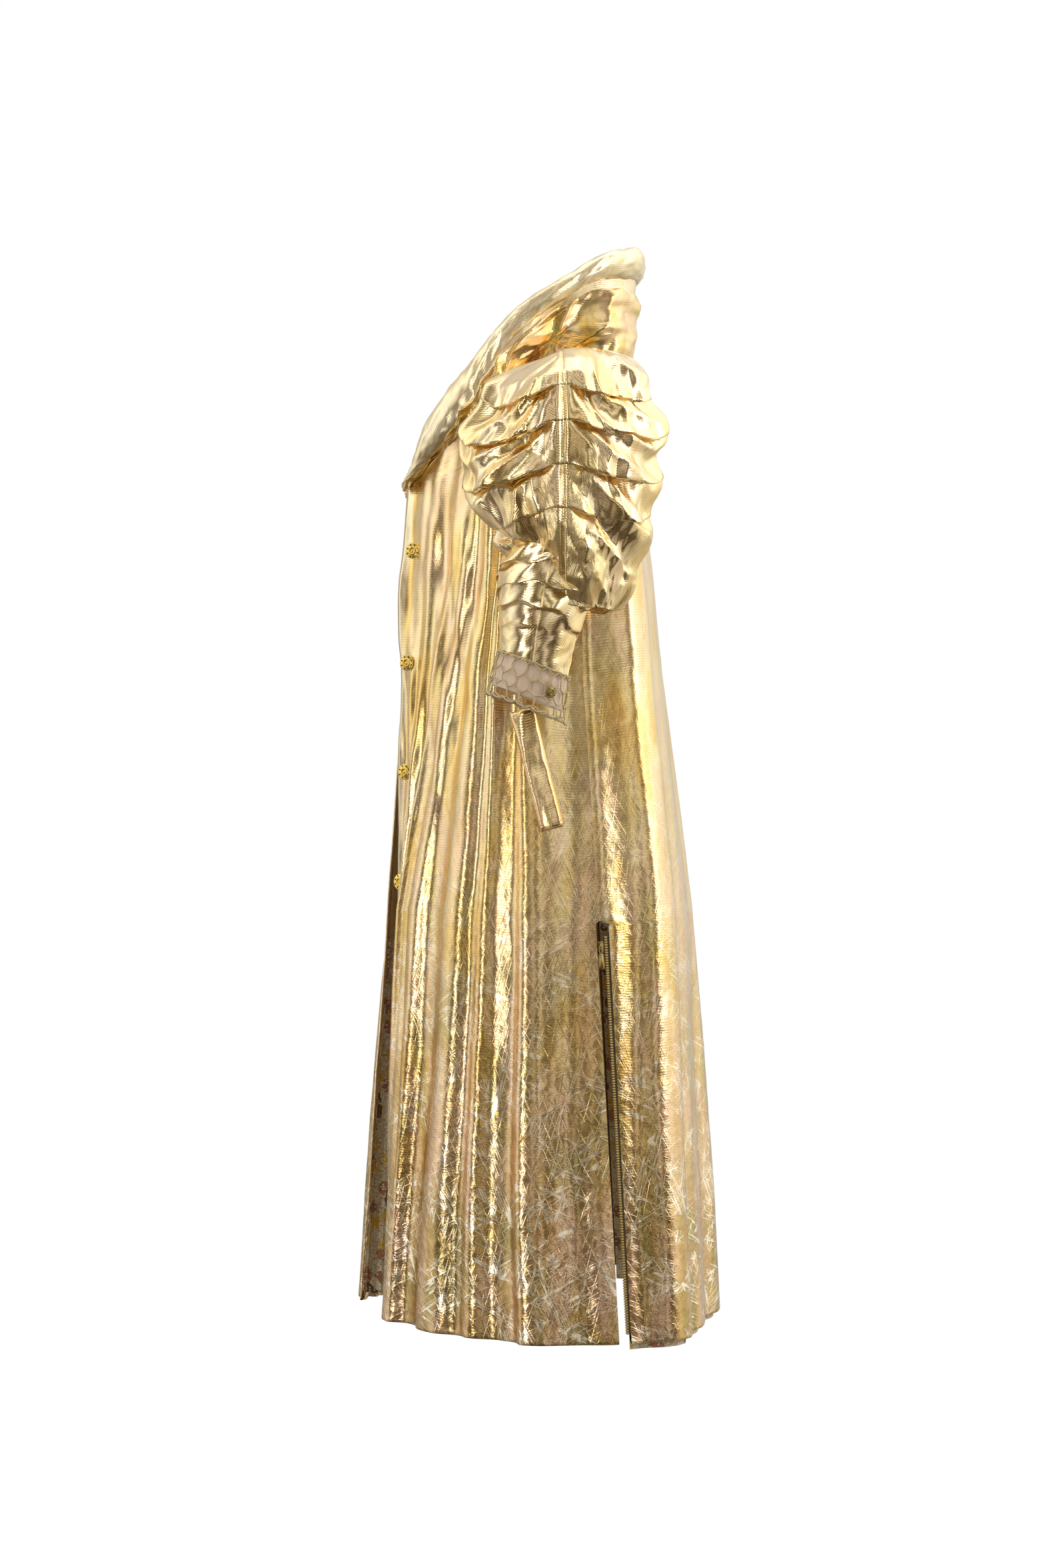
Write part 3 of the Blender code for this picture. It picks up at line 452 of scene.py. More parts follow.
def half_folds(side, place, h):
    """Deep soft folds low down, creases higher up."""
    seed = 5 if side > 0 else 40
    low = 1 - smoothstep(0.05, 1.05, h)
    drift = 0.26 * noise(h * 1.6, 0.5, seed) + 0.08 * noise(h * 2.3, place * 0.8, seed + 9)
    drift = drift + 0.025 * noise(h * 4.0, 2.5, seed + 1)
    p = place + drift * (0.4 + low) + 0.018 * noise(place * 2, h * 4, seed + 8)
    wave = lambda f, ph: np.cos(2 * math.pi * (f * p + ph))
    deep = 0.62 * wave(0.95, 0.10 * side) + 0.50 * wave(1.75, 0.35) + 0.13 * wave(3.1, 0.2 + 0.05 * seed)
    # Rounded ridges, narrower valleys
    deep = np.tanh(1.3 * deep) + 0.25 * noise(place * 3.2, h * 1.4, seed + 2)
    amp = 0.0035 + 0.0115 * low ** 1.2
    fade_edge = smoothstep(0.0, 0.35, EDGE_PLACE - place) * 0.75 + 0.25
    d = amp * deep * fade_edge
    # Soft drapes that fall from the arm towards the front edge
    diag = smoothstep(2.6, 4.0, place) * smoothstep(0.55, 0.85, h) * (1 - smoothstep(1.02, 1.16, h))
    slant = np.sin(2 * math.pi * (place * 0.95 - h * 4.6 + 0.3 * noise(h * 5, place, seed)))
    d = d + 0.0024 * diag * np.tanh(1.6 * slant)
    crisp = smoothstep(0.5, 1.0, h)
    d = d + (0.0012 + 0.0004 * crisp) * facets(place * 2.2, h * 5.0, seed + 3)
    d = d + 0.0006 * facets(place * 6.0, h * 16, seed + 4) + 0.00015 * noise(place * 16, h * 75, seed + 6)
    return d


def body_cloth(side, place, h, inset=0.0):
    place, h = np.broadcast_arrays(np.asarray(place, float), np.asarray(h, float))
    n = out_dir(side, place, h)
    keep = 1 - smoothstep(1.10, 1.26, h) * 0.7
    return base_point(side, place, h) + n * (folds(side, place, h) * keep - inset)[..., None]


def shifted(side, place, h, distance):
    e = 0.01
    speed = np.linalg.norm(base_point(side, place + e, h) - base_point(side, place - e, h), axis=-1) / (2 * e)
    return place + distance / speed


def place_at_depth(side, h, y, lo, hi):
    lo, hi = np.full_like(h, lo), np.full_like(h, hi)
    for _ in range(30):
        m = (lo + hi) / 2
        behind = base_point(side, m, h)[..., 1] > y
        lo, hi = np.where(behind, m, lo), np.where(behind, hi, m)
    return lo


def neck_place(h):
    s = np.maximum(0, (h - NECK_START) / (NECK_H - NECK_START))
    return EDGE_PLACE + (NECK_TOP - EDGE_PLACE) * s ** 0.8


def arm_half(h):
    r = (h - ARM_Z) / (ARM_RZ - ARM_LAP)
    return (ARM_RY - ARM_LAP) * np.sqrt(np.maximum(0, 1 - r * r))


# The slit reaches this far above the zip; its back and front edges stand off its middle
SLIT_TOP, SLIT_BACK, SLIT_FRONT = ZIP_TOP + 0.012, -0.0130, 0.0045


def back_end(side, h):
    slit = shifted(side, ZIP_PLACE, h, np.where(h < SLIT_TOP, SLIT_BACK, 0.0))
    arm = place_at_depth(side, h, arm_half(h), 0.5, SHOULDER_PLACE)
    return np.where(h <= ARM_Z - 0.06, slit, np.minimum(np.maximum(arm, slit), SHOULDER_PLACE))


def front_start(side, h):
    seam = np.full_like(h, SEAM_PLACE)
    arm = place_at_depth(side, h, -arm_half(h), SHOULDER_PLACE, 4.5)
    return np.where(h <= ARM_Z, seam, np.maximum(np.minimum(arm, seam), SHOULDER_PLACE))


STEP = 0.0042


def heights(lo, hi, step=STEP):
    return np.linspace(lo, hi, max(3, int((hi - lo) / step)))


def rolled_hem(side, place):
    """Rows that turn the cloth's lower edge inwards and up again."""
    turn = ((0.012, 0.0075), (0.004, 0.0070), (0.0008, 0.0040), (0.0, 0.0012), (0.0015, 0.0002))
    return np.stack([body_cloth(side, place, np.full_like(place, h), inset) for h, inset in turn])


def seam_dip(P, n, cols, depth=0.0016, width=3):
    """Sinks the outermost columns so that two panels meet in a groove."""
    for c in cols:
        for k in range(width):
            i = c + k if c >= 0 else c - k
            P[:, i] -= n[:, i] * depth * (1 - k / width) ** 2
    return P


# How far in from the front edge, and how deep, each row of its inward turn lies
EDGE_TURN = ((0.0, 0.0006), (0.0004, 0.0014), (0.0008, 0.0020), (0.0020, 0.0024), (0.0044, 0.0025))
EDGE_DEPTH = 0.0030


def panel(name, side, hs, start, end, cols, mat, inset=0.0, hem=False, dips=(), edge_turn=False,
          offset=0.0, taper=0.0):
    """A body panel between two edges; taper brings a lining's front edge up to the shell."""
    H = np.repeat(hs[:, None], cols, 1)
    s, e = start(side, hs), end(side, hs)
    share = np.linspace(0, 1, cols)[None]
    place = s[:, None] + (e - s)[:, None] * share
    near_edge = smoothstep(0.72, 1.0, share) * taper
    P = body_cloth(side, place, H, inset - (inset - EDGE_DEPTH) * near_edge)
    P = seam_dip(P, out_dir(side, place, H), dips)
    if edge_turn:
        turn = [body_cloth(side, shifted(side, e, hs, -back), hs, inset + deep) for back, deep in EDGE_TURN]
        P = np.concatenate([P, np.stack(turn, 1)], 1)
        place = np.concatenate([place, np.repeat(e[:, None], len(EDGE_TURN), 1)], 1)
    if hem:
        P = np.concatenate([rolled_hem(side, place[0]), P])
    obj = grid(name, P, mat, flat_uv(P, offset), flip=side > 0)
    if edge_turn:
        # A binding of the collar's cloth runs along the front edge, in the collar roll's copy with its
        # painted highlight
        obj.data.materials.append(ROLL)
        for face in obj.data.polygons:
            face.material_index = int(cols - 4 <= face.index % (P.shape[1] - 1) < cols + 3)
    return obj


def flank_grid(side, cols, start_shift=0.0):
    """Places and heights of a side panel, whose top edge follows the armhole."""
    hs = heights(0.004, ARM_Z)
    s = shifted(side, ZIP_PLACE, hs, np.where(hs < SLIT_TOP, SLIT_FRONT, 0.0) + start_shift)
    place = s[:, None] + (SEAM_PLACE - s)[:, None] * np.linspace(0, 1, cols)[None]
    H = np.repeat(hs[:, None], cols, 1)
    y = base_point(side, place, ARM_Z + 0 * place)[..., 1]
    reach = np.minimum(1, np.abs(y) / (ARM_RY - ARM_LAP))
    floor = ARM_Z - (ARM_RZ - ARM_LAP) * np.sqrt(1 - reach * reach)
    H = np.where(H > 0.95, 0.95 + (floor - 0.95) * (H - 0.95) / (ARM_Z - 0.95), H)
    return place, H


# ---------------------------------------------------------------- body shell and lining
SKIN_DEPTH, FACING_DEPTH = 0.0092, 0.0096
HEM_START, LINING_START, FLAP_TOP = 0.004, 0.006, 0.505


def centre_back(side, h):
    return 0 * h


def front_edge(side, h):
    return neck_place(h)


def facing_edge(side, h):
    return shifted(side, neck_place(h), h, -0.0035)


made = {}
for side in (1, -1):
    n = NAME[side]
    cols = 56
    lining_cols = cols // 2
    shell = heights(HEM_START, NECK_H)
    back = panel(f"{n} back cloth", side, shell, centre_back, back_end, cols, SHELL, hem=True, dips=(0, -1),
                 offset=0.3 * side)
    dress(back, "coat", "gold_lame", f"{n}_back_panel")
    place, H = flank_grid(side, 70)
    P = seam_dip(body_cloth(side, place, H), out_dir(side, place, H), (-1,))
    P = np.concatenate([rolled_hem(side, place[0]), P])
    flank = grid(f"{n} side cloth", P, SHELL, flat_uv(P, 1.3 + side), flip=side > 0)
    dress(flank, "coat", "gold_lame", f"{n}_side_panel")
    front = panel(f"{n} front cloth", side, shell, front_start, front_edge, lining_cols + 8, SHELL, hem=True,
                  dips=(0,), edge_turn=True, offset=2.1 + side)
    dress(front, None, "gold_lame", f"{n}_front_panel", f"{n}_front_flap_panel")
    # Linings: brocade in the skirt and back, paler facing inside the upper front
    top = NECK_H - 0.004
    strip = np.concatenate([[-0.0075, -0.003], heights(LINING_START, top, STEP * 2)])
    bl = panel(f"{n} back lining cloth", side, strip, centre_back, back_end, lining_cols, BROCADE, SKIN_DEPTH)
    dress(bl, "coat", "brocade", f"{n}_back_lining")
    place, H = flank_grid(side, lining_cols, 0.003)
    P = body_cloth(side, place, H, SKIN_DEPTH)
    sl = grid(f"{n} side lining cloth", P, BROCADE, flat_uv(P, 0.7), flip=side > 0)
    dress(sl, "coat", "brocade", f"{n}_side_lining")
    fl = panel(f"{n} front facing cloth", side, heights(0.50, top, STEP * 2), front_start, facing_edge,
               lining_cols, FACING, FACING_DEPTH, taper=1.0)
    dress(fl, None, "facing_lame", f"{n}_front_lining")
    ll = panel(f"{n} front flap lining cloth", side, heights(LINING_START, FLAP_TOP, STEP * 2), front_start,
               facing_edge, lining_cols, BROCADE, SKIN_DEPTH, taper=1.0)
    dress(ll, None, "brocade", f"{n}_front_flap_lining")
    # The front would bend from the coat to the hanging flap over this stretch of the seam; its two ends are
    # worked out here but not used
    upper, lower = (Vector(base_point(side, SEAM_PLACE, h) + TO_ROW) for h in (0.60, 0.22))
    for o in (front, fl, ll):
        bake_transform(o)
    made[n] = dict(back=back, flank=flank, front=front, bl=bl, sl=sl, fl=fl, ll=ll)

# ---------------------------------------------------------------- collar
EDGE = np.array([(0.000, 0.142, 1.450), (0.050, 0.134, 1.448), (0.094, 0.098, 1.434), (0.119, 0.045, 1.400),
                 (0.126, -0.012, 1.358), (0.121, -0.062, 1.305), (0.106, -0.105, 1.246),
                 (0.078, -0.147, 1.178),
                 (0.052, -0.171, 1.135), (0.047, -0.176, 1.115)])


def spline(points, t):
    """Catmull-Rom through points, t in 0..1."""
    p = np.concatenate([[2 * points[0] - points[1]], points, [2 * points[-1] - points[-2]]])
    spans = len(points) - 1
    x = np.clip(np.asarray(t, float), 0, 1) * spans
    i = np.minimum(np.floor(x).astype(int), spans - 1)
    f = (x - i)[..., None]
    a, b, c, d = p[i], p[i + 1], p[i + 2], p[i + 3]
    return b + 0.5 * f * ((c - a) + f * ((2 * a - 5 * b + 4 * c - d) + f * (-a + 3 * b - 3 * c + d)))


def collar_sheet(side, cols):
    """Rows run across the collar: up the outside, over the thick roll and down the inside."""
    t = np.linspace(0, 1, cols)
    edge = spline(EDGE, t) * np.array([side, 1, 1])
    back = 0.30
    h = np.where(t <= back, NECK_H, NECK_H + (NECK_START - NECK_H) * (t - back) / (1 - back))
    place = np.where(t <= back, NECK_TOP * t / back, neck_place(h))
    seam = base_point(side, place, h) + out_dir(side, place, h) * -0.001
    ahead = np.gradient(edge, axis=0)
    normal = side * np.cross(edge - seam, ahead)
    # The halves face straight back where they meet, so no gap opens at the nape
    normal[:, 0] *= smoothstep(0.0, 0.06, t)
    normal /= np.linalg.norm(normal, axis=1)[:, None]
    up = edge - seam
    width = np.linalg.norm(up, axis=1)
    up = up / (width[:, None] + 1e-9)
    # The thick roll along the edge, thinner at the front end
    rad = np.interp(t, [0, 0.2, 0.75, 0.93, 1], [0.0165, 0.0185, 0.0200, 0.0125, 0.004])
    stem = np.maximum(width - 2.55 * rad, width * 0.30)
    # The base tucks down inside the neckline
    rows = [seam - up * 0.012 - normal * 0.0045]
    for v in np.linspace(0, 1, 52):
        swell = 0.015 * np.sin(math.pi * v) ** 0.9 * np.interp(t, [0, 0.12, 0.7, 1], [0.25, 0.9, 1.0, 0.1])
        dip = -0.010 * np.exp(-((v - 0.97) / 0.12) ** 2) * np.interp(t, [0, 0.85, 1], [1, 1, 0.2])
        # Folds that fan out from the nape and long drapes running forward
        fan = np.sin(2 * math.pi * (t * 7.0 + 0.55 * v + 0.2 * noise(t * 6, v * 2, 3)))
        drape = np.sin(2 * math.pi * (v * 1.7 - t * 1.1 + 0.25 * noise(t * 4, v * 3, 9)))
        petal = np.exp(-((v - 0.12) / 0.15) ** 2) * np.exp(-(t / 0.16) ** 2)
        lump = 0.0035 * fan * (1 - v) + 0.0045 * np.tanh(1.5 * drape) * math.sin(math.pi * v)
        lump = lump + 0.009 * petal * np.abs(np.sin(math.pi * t * 26))
        rays = np.abs(np.sin(math.pi * (t * 9.0 + 1.3 * v + 0.5 * noise(t * 5, v * 2.5, 17))))
        lump = 0.6 * lump - 0.0062 * rays * math.sin(math.pi * min(1.0, v * 1.15))
        lump = lump + 0.0040 * facets(t * 9, v * 3.2 + 5, 21) + 0.0013 * facets(t * 34, v * 11, 23)
        stand = swell + dip + lump * np.interp(t, [0.85, 1], [1, 0.2])
        rows.append(seam + up * (v * stem)[:, None] + normal * stand[:, None])
    roll_start = len(rows)
    crinkle = lambda a: 0.0014 * facets(t * 30, a * 2.0, 31) + 0.0009 * noise(t * 60, a * 4, 33)
    axis = seam + up * (stem + rad * 1.25)[:, None] + normal * (0.004 - 0.002 * t)[:, None]
    for a in np.linspace(-0.45, 3.35, 26):
        # a turns from the outer crease over the top to the inside
        rr = rad + crinkle(a)
        stretch = np.interp(a, [-0.5, 0.3, 1.5], [1.45, 1.35, 1.15])
        along, out = np.cos(a) * rr * stretch, np.sin(a) * rr * 0.62
        rows.append(axis - up * along[:, None] + normal * out[:, None])
    facing_start = len(rows)
    inner = rows[-1]
    for v in np.linspace(0.04, 1, 24):
        p = inner * (1 - v) + (seam - normal * 0.009) * v
        bow = math.sin(math.pi * v) * 0.012 * np.interp(t, [0, 0.7, 1], [0.4, 1, 0.1])
        rows.append(p + normal * (bow + 0.0015 * facets(t * 16, v * 5, 41))[:, None])
    return np.stack(rows), roll_start, facing_start


for side in (1, -1):
    n = NAME[side]
    P, roll_start, facing_start = collar_sheet(side, 200)
    uv = flat_uv(P, 0.9)
    for key, name, rows, mat, slot, nodes in (
            ("collar", "collar cloth", slice(0, roll_start), UNDER, "gold_lame", [f"{n}_collar"]),
            ("roll", "rolled collar edge", slice(roll_start - 1, facing_start + 1), ROLL, "gold_lame", []),
            ("cface", "collar facing cloth", slice(facing_start - 1, None), FACING, "facing_lame",
             [f"{n}_collar_facing"])):
        o = grid(f"{n} {name}", P[rows], mat, uv[rows], flip=side > 0)
        made[n][key] = dress(o, "coat", slot, *nodes)

# ---------------------------------------------------------------- sleeve heads
# Height, front y, back y, inner x, outer x of the level rings of the sleeve head
PUFF = np.array([
    (1.2760, 0.050, 0.112, 0.235, 0.270), (1.2700, 0.010, 0.126, 0.222, 0.298),
    (1.2560, -0.024, 0.137, 0.210, 0.318),
    (1.2370, -0.062, 0.149, 0.204, 0.335), (1.2150, -0.078, 0.158, 0.203, 0.345),
    (1.1780, -0.096, 0.171, 0.203, 0.354),
    (1.1600, -0.093, 0.175, 0.203, 0.357), (1.1400, -0.094, 0.170, 0.203, 0.359),
    (1.1080, -0.098, 0.162, 0.203, 0.359),
    (1.0750, -0.078, 0.157, 0.203, 0.357), (1.0480, -0.060, 0.152, 0.205, 0.352),
    (1.0150, -0.047, 0.144, 0.209, 0.344),
    (0.9730, -0.030, 0.133, 0.212, 0.334), (0.9440, 0.020, 0.112, 0.216, 0.318)])
TUCKS = (1.2190, 1.1730, 1.1190, 1.0670)
PUFF_TOP, PUFF_END, PUFF_SEAM_Y = 1.2760, 0.944, 0.036


def puff_bounds(z):
    """Front y, back y, inner x and outer x of the sleeve head at a height."""
    return (np.interp(z, PUFF[::-1, 0], PUFF[::-1, i]) for i in (1, 2, 3, 4))


def tuck_depth(i, s):
    """How deep a tuck bites at each place round the sleeve: strong by the centre, then fading into folds."""
    front, back = ((0.35, 0.25), (0.55, 0.35), (1.15, 0.75), (0.30, 0.45))[i]
    near = np.exp(-((np.abs(s) - 0.22) / 0.22) ** 2)
    return np.maximum(near, np.where(s < 0, front, back) * smoothstep(0.1, 0.5, np.abs(s)))


def puff_row(side, z, phi, inset=0.0):
    """One ring of the sleeve head at nominal height z; phi is 0 outside, -90 deg front, +90 deg back."""
    s, c = np.sin(phi), np.cos(phi)
    away = np.abs(s)
    outer = smoothstep(-0.15, 0.25, c)
    zz = np.full_like(phi, z)
    yf, yb, xi, xo = puff_bounds(zz)
    tip = np.sqrt(np.maximum(0, 1 - np.abs(c) ** 1.45))
    y = (yf + yb) / 2 + (yb - yf) / 2 * np.sign(s) * tip
    x = (xi + xo) / 2 + (xo - xi) / 2 * c
    y = y + (PUFF_SEAM_Y - (yf + yb) / 2) * np.exp(-(s / 0.35) ** 2) * (c > 0)
    # Tucks: each tier swells towards its lower edge and the next starts tucked under
    levels = (PUFF_TOP + 0.004, *TUCKS)
    off = np.zeros_like(phi)
    pinch = 0.15 + 0.85 * smoothstep(0.03, 0.40, away)
    tipness = smoothstep(0.80, 1.0, away)
    for i, (hi, lo) in enumerate(zip(levels, levels[1:])):
        if lo <= z < hi:
            u = (hi - z) / (hi - lo)
            top = 1.0 if i == 0 else tuck_depth(i - 1, s)
            off = (-0.011 * (1 - u) * top + 0.009 * u * tuck_depth(i, s)) * pinch * outer
    if z < TUCKS[-1]:
        u = min(1.0, (TUCKS[-1] - z) / 0.05)
        off = (-0.011 * (1 - u) * tuck_depth(3, s) + 0.003 * u) * pinch * outer
    groove = -0.0040 * np.exp(-(s / 0.035) ** 2) * (c > 0)
    arc = phi * 0.15
    radiate = np.abs(np.sin(2 * math.pi * (z * 8.0 + 0.9 * np.abs(s) + 0.35 * noise(s * 2, z * 9, 69))))
    big = -0.0080 * radiate * smoothstep(0.1, 0.6, away)
    big = big + 0.0150 * facets(arc * 9 + 3.3 * z, z * 11 + arc * 5, 61 + side)
    big = big + 0.0022 * facets(arc * 40 - 9 * z, z * 38, 63 + side)
    fine = 0.0004 * facets(arc * 60 + 20 * z, z * 75 - arc * 20, 65)
    swing = 0.006 * np.sin(2 * math.pi * (z * 13 + s * 0.9)) * tipness
    creases = (big * (0.35 + 0.65 * pinch) + fine) * (0.25 + 0.75 * outer)
    r = off + groove + creases + swing - inset * pinch * outer
    cx, cy = (xi + xo) / 2, (yf + yb) / 2
    dx, dy = x - cx, y - cy
    ln = np.sqrt(dx * dx + dy * dy) + 1e-9
    x, y = x + dx / ln * r, y + dy / ln * r
    # Tuck lines dip towards the front and lift towards the back
    droop = (-0.024 * smoothstep(0.05, 1.0, -s) - 0.014 * smoothstep(0.05, 1.0, s)) * outer
    droop = droop * smoothstep(1.275, 1.20, z) * smoothstep(1.0, 1.07, z)
    lower_back = 0.020 * smoothstep(1.06, 0.96, z) * smoothstep(0.3, -0.6, s)
    zz = zz + droop + lower_back + 0.004 * facets(arc * 12, z * 9, 71)
    return np.stack([side * x, y, zz], -1), pinch


# How far inwards, and how far up, each row of a tuck's underside lies
TUCK_TURN = ((0.0012, -0.0068), (0.0045, -0.0072), (0.0080, -0.0055), (0.0105, -0.0015))


def sleeve_head(side, phi):
    outside = smoothstep(-0.1, 0.3, np.cos(phi))
    # Close the top
    top, _ = puff_row(side, PUFF_TOP, phi)
    centre = top.mean(0)
    rows = [centre + (top - centre) * k + np.array([0, 0, 0.0015 * (1 - k * k)])
            for k in (0.05, 0.35, 0.65, 0.88)]
    z = PUFF_TOP
    for i, lo in enumerate((*TUCKS, PUFF_END)):
        bite = tuck_depth(i, np.sin(phi)) if lo != PUFF_END else 0.0
        for h in np.linspace(z, lo + 1e-5, max(4, int((z - lo) / (0.0026)))):
            row, pinch = puff_row(side, h, phi)
            row[:, 2] -= smoothstep(lo + 0.016, lo, h) * 0.0055 * bite * pinch * outside
            rows.append(row)
        if lo != PUFF_END:
            for inset, rise in TUCK_TURN:
                row, pinch = puff_row(side, lo + 1e-5, phi, inset * bite)
                row[:, 2] += rise * bite * pinch * outside
                rows.append(row)
            z = lo - 1e-5
    # Gather the foot in to the lower sleeve
    last = rows[-1]
    target = forearm_ring(side, 0.02, 0.055, phi)
    for k in np.linspace(0.12, 1, 9):
        p = last * (1 - k) + target * k
        p[:, 2] = last[:, 2] + (target[:, 2] - last[:, 2]) * k ** 2.2
        p[:, 2] -= 0.010 * math.sin(math.pi * min(1, k * 1.2))
        rows.append(p + 0.003 * k * (1 - k) * 4 * facets(phi * 4, k * 3, 81)[:, None] * np.array([1, 1, 0.5]))
    return np.stack(rows)


def forearm_line(t):
    """The forearm's line: t is 0 just inside the sleeve head and 1 at the cuff's lower edge."""
    z = 1.040 - 0.221 * t
    y = np.interp(z, [0.80, 0.8345, 0.865, 0.92, 0.98, 1.05], [-0.012, -0.008, -0.001, 0.006, 0.018, 0.034])
    return np.stack([0.272 + 0 * z, y, z], -1)


def forearm_ring(side, t, radius, phi):
    c = forearm_line(np.asarray(t, float))
    tilt = 0.36 * smoothstep(0.15, 0.75, t)
    s, co = np.sin(phi), np.cos(phi)
    y = c[1] + radius * s * np.cos(tilt)
    z = c[2] - radius * s * np.sin(tilt)
    return np.stack([side * (c[0] + radius * 0.94 * co), y, z + 0 * phi], -1)


SLEEVE_END, CUFF_END = 0.765, 0.955
# How much each row of a rolled end changes the radius, and how far along the forearm it lies
SLEEVE_ROLL = ((0.0012, 0.004), (0.0006, 0.009), (-0.0012, 0.011), (-0.0026, 0.008), (-0.0034, -0.02),
               (-0.0038, -0.06))
CUFF_ROLL = ((-0.0004, 0.006), (-0.0016, 0.008), (-0.0030, 0.006), (-0.0040, -0.02), (-0.0042, -0.10),
             (-0.0044, -0.24))


def lower_sleeve(side, phi):
    rows = []
    cp, sp = np.cos(phi), np.sin(phi)
    for t in np.linspace(0.0, SLEEVE_END, 150):
        base = np.interp(t, [0, 0.10, 0.25, 0.45, 0.62, 0.765], [0.052, 0.064, 0.066, 0.057, 0.0500, 0.0475])
        # A few deep gathers that run slanting round the arm and break into one another
        warp = 0.9 * np.sin(phi + 0.9 + side) + 0.55 * np.sin(2 * phi + 2.1)
        warp = warp + 0.7 * noise(cp * 2, sp * 2 + t * 5, 91)
        saw = (t * 7.6 + 0.40 * warp) % 1.0
        ridge = np.where(saw < 0.72, saw / 0.72, (1 - saw) / 0.28) ** 1.2
        strong = np.interp(t, [0, 0.12, 0.38, 0.52, 0.62, 0.765], [0.5, 1.0, 0.85, 0.30, 0.06, 0.02])
        gate = 0.55 + 0.6 * noise(cp * 2.2 + 3, sp * 2.2 + t * 6, 95 + side)
        rad = base + 0.0170 * strong * (ridge - 0.40) * np.abs(gate)
        rad = rad + 0.0030 * strong * facets(cp * 1.8 + 5, sp * 1.8 + t * 8, 97)
        rad = rad + 0.0008 * facets(cp * 4 + 5, sp * 4 + t * 20, 99)
        row = forearm_ring(side, t, rad, phi)
        row[:, 2] -= 0.0085 * strong * (ridge - 0.5)
        rows.append(row)
    return np.stack(rows + [forearm_ring(side, SLEEVE_END + dt, 0.0470 + dr, phi) for dr, dt in SLEEVE_ROLL])


def armhole_band(side, ring):
    """Gathered band that carries the sleeve head into the armhole and flares inside the sleeve."""
    start, rows = 0.188, []
    for t, flare in [(t, 0.0) for t in np.linspace(0, 1, 12)] + [(1.0, f) for f in (0.3, 0.65, 1.0)]:
        tuck = 0.0020 * np.abs(np.sin(ring * 15 + 1.5 * np.sin(ring * 2))) * t
        y = (0.0550 + 0.0240 * flare - tuck) * np.cos(ring)
        h = ARM_Z + (0.0740 + 0.0250 * flare - tuck) * np.sin(ring)
        yf, yb, xi, xo = puff_bounds(h)
        tip = np.minimum(1.0, np.abs(y - (yf + yb) / 2) / ((yb - yf) / 2))
        wall = (xi + xo) / 2 - (xo - xi) / 2 * (1 - tip * tip) ** 0.69
        rows.append(np.stack([side * (start + (wall + 0.006 - start) * t), y, h], -1))
    return np.stack(rows)


def satin_cuff(side, ring):
    """Satin cuff turned back on itself."""
    rows = []
    for t in np.linspace(0.70, CUFF_END, 22):
        wob = 0.0010 * facets(ring * 3.5, t * 26, 101) + 0.0006 * noise(ring * 9, t * 60, 103)
        rows.append(forearm_ring(side, t, 0.0452 + 0.0035 * (t - 0.7) / 0.3 + wob, ring))
    return np.stack(rows + [forearm_ring(side, CUFF_END + dt, 0.0487 + dr, ring) for dr, dt in CUFF_ROLL])


NET_AROUND, NET_ROWS, NET_START, NET_END = 17, 3, 0.765, 1.015
NET_PITCH = (NET_END - NET_START) / (NET_ROWS + 0.20)
HEXAGON = ((0.0, -0.66), (0.5, -0.33), (0.5, 0.33), (0.0, 0.66), (-0.5, 0.33), (-0.5, -0.33))


def shaken(side, key):
    """A repeatable number in 0..1 for a knot or cord of the net."""
    return (math.sin(key[0] * 12.9898 + key[1] * 78.233 + side) * 43758.5453) % 1.0


def knot(side, a, r):
    """A knot of the net, shaken a little from its regular place."""
    key = (round(a * 2) % (NET_AROUND * 2), round(r * 3))
    return a + (shaken(side, key) - 0.5) * 0.26, r + (shaken(side, (key[1], key[0])) - 0.5) * 0.22


def net_place(side, a, r):
    t = NET_START + NET_PITCH * r
    radius = 0.0476 + 0.0046 * (t - 0.7) / 0.3 + 0.0012
    return forearm_ring(side, t, radius, np.array([2 * math.pi * a / NET_AROUND]))[0] + TO_ROW


def net_cords():
    """The honeycomb's cords as pairs of knots, each once."""
    cords = {}
    for r in range(NET_ROWS):
        for a in range(NET_AROUND):
            ca, cr = a + 0.5 * (r % 2), r + 0.62
            pts = [(round((ca + x) * 2) / 2, round((cr + y) * 3) / 3) for x, y in HEXAGON]
            for p, q in zip(pts, pts[1:] + pts[:1]):
                key = tuple(sorted(((p[0] % NET_AROUND, p[1]), (q[0] % NET_AROUND, q[1]))))
                cords.setdefault(key, (p, q))
    return [ends for _, ends in sorted(cords.items())]


def cuff_net(side):
    """Net of chain cord: uneven honeycomb with a scalloped lower edge."""
    parts = []
    for p, q in net_cords():
        (a0, r0), (a1, r1) = knot(side, *p), knot(side, *q)
        steps = np.linspace(0, 1, 9)
        bend = (shaken(side, (p[0] + q[1], q[0])) - 0.5) * 0.22
        pts = []
        for u in steps:
            bow = bend * math.sin(math.pi * u)
            pts.append(net_place(side, a0 + (a1 - a0) * u + bow * (r1 - r0), r0 + (r1 - r0) * u + bow * 0.5))
        parts.append(tube_part(pts, 0.00105 + 0.00035 * np.cos(np.arange(len(steps)) * math.pi), 6))
    # Scallops and small picots along the edges
    steps = np.linspace(0, 1, 10)
    for a in range(NET_AROUND):
        low = [net_place(side, a + u + 0.25, NET_ROWS + 0.05 + 0.24 * math.sin(math.pi * u)) for u in steps]
        high = [net_place(side, a + u + 0.25, -0.02 + 0.03 * math.sin(2 * math.pi * u)) for u in steps]
        parts += [tube_part(low, 0.0012, 6), tube_part(high, 0.0011, 6)]
    return parts


def turned_uv(P, offset):
    uv = flat_uv(P, offset)
    uv[..., 1] *= -1
    return uv


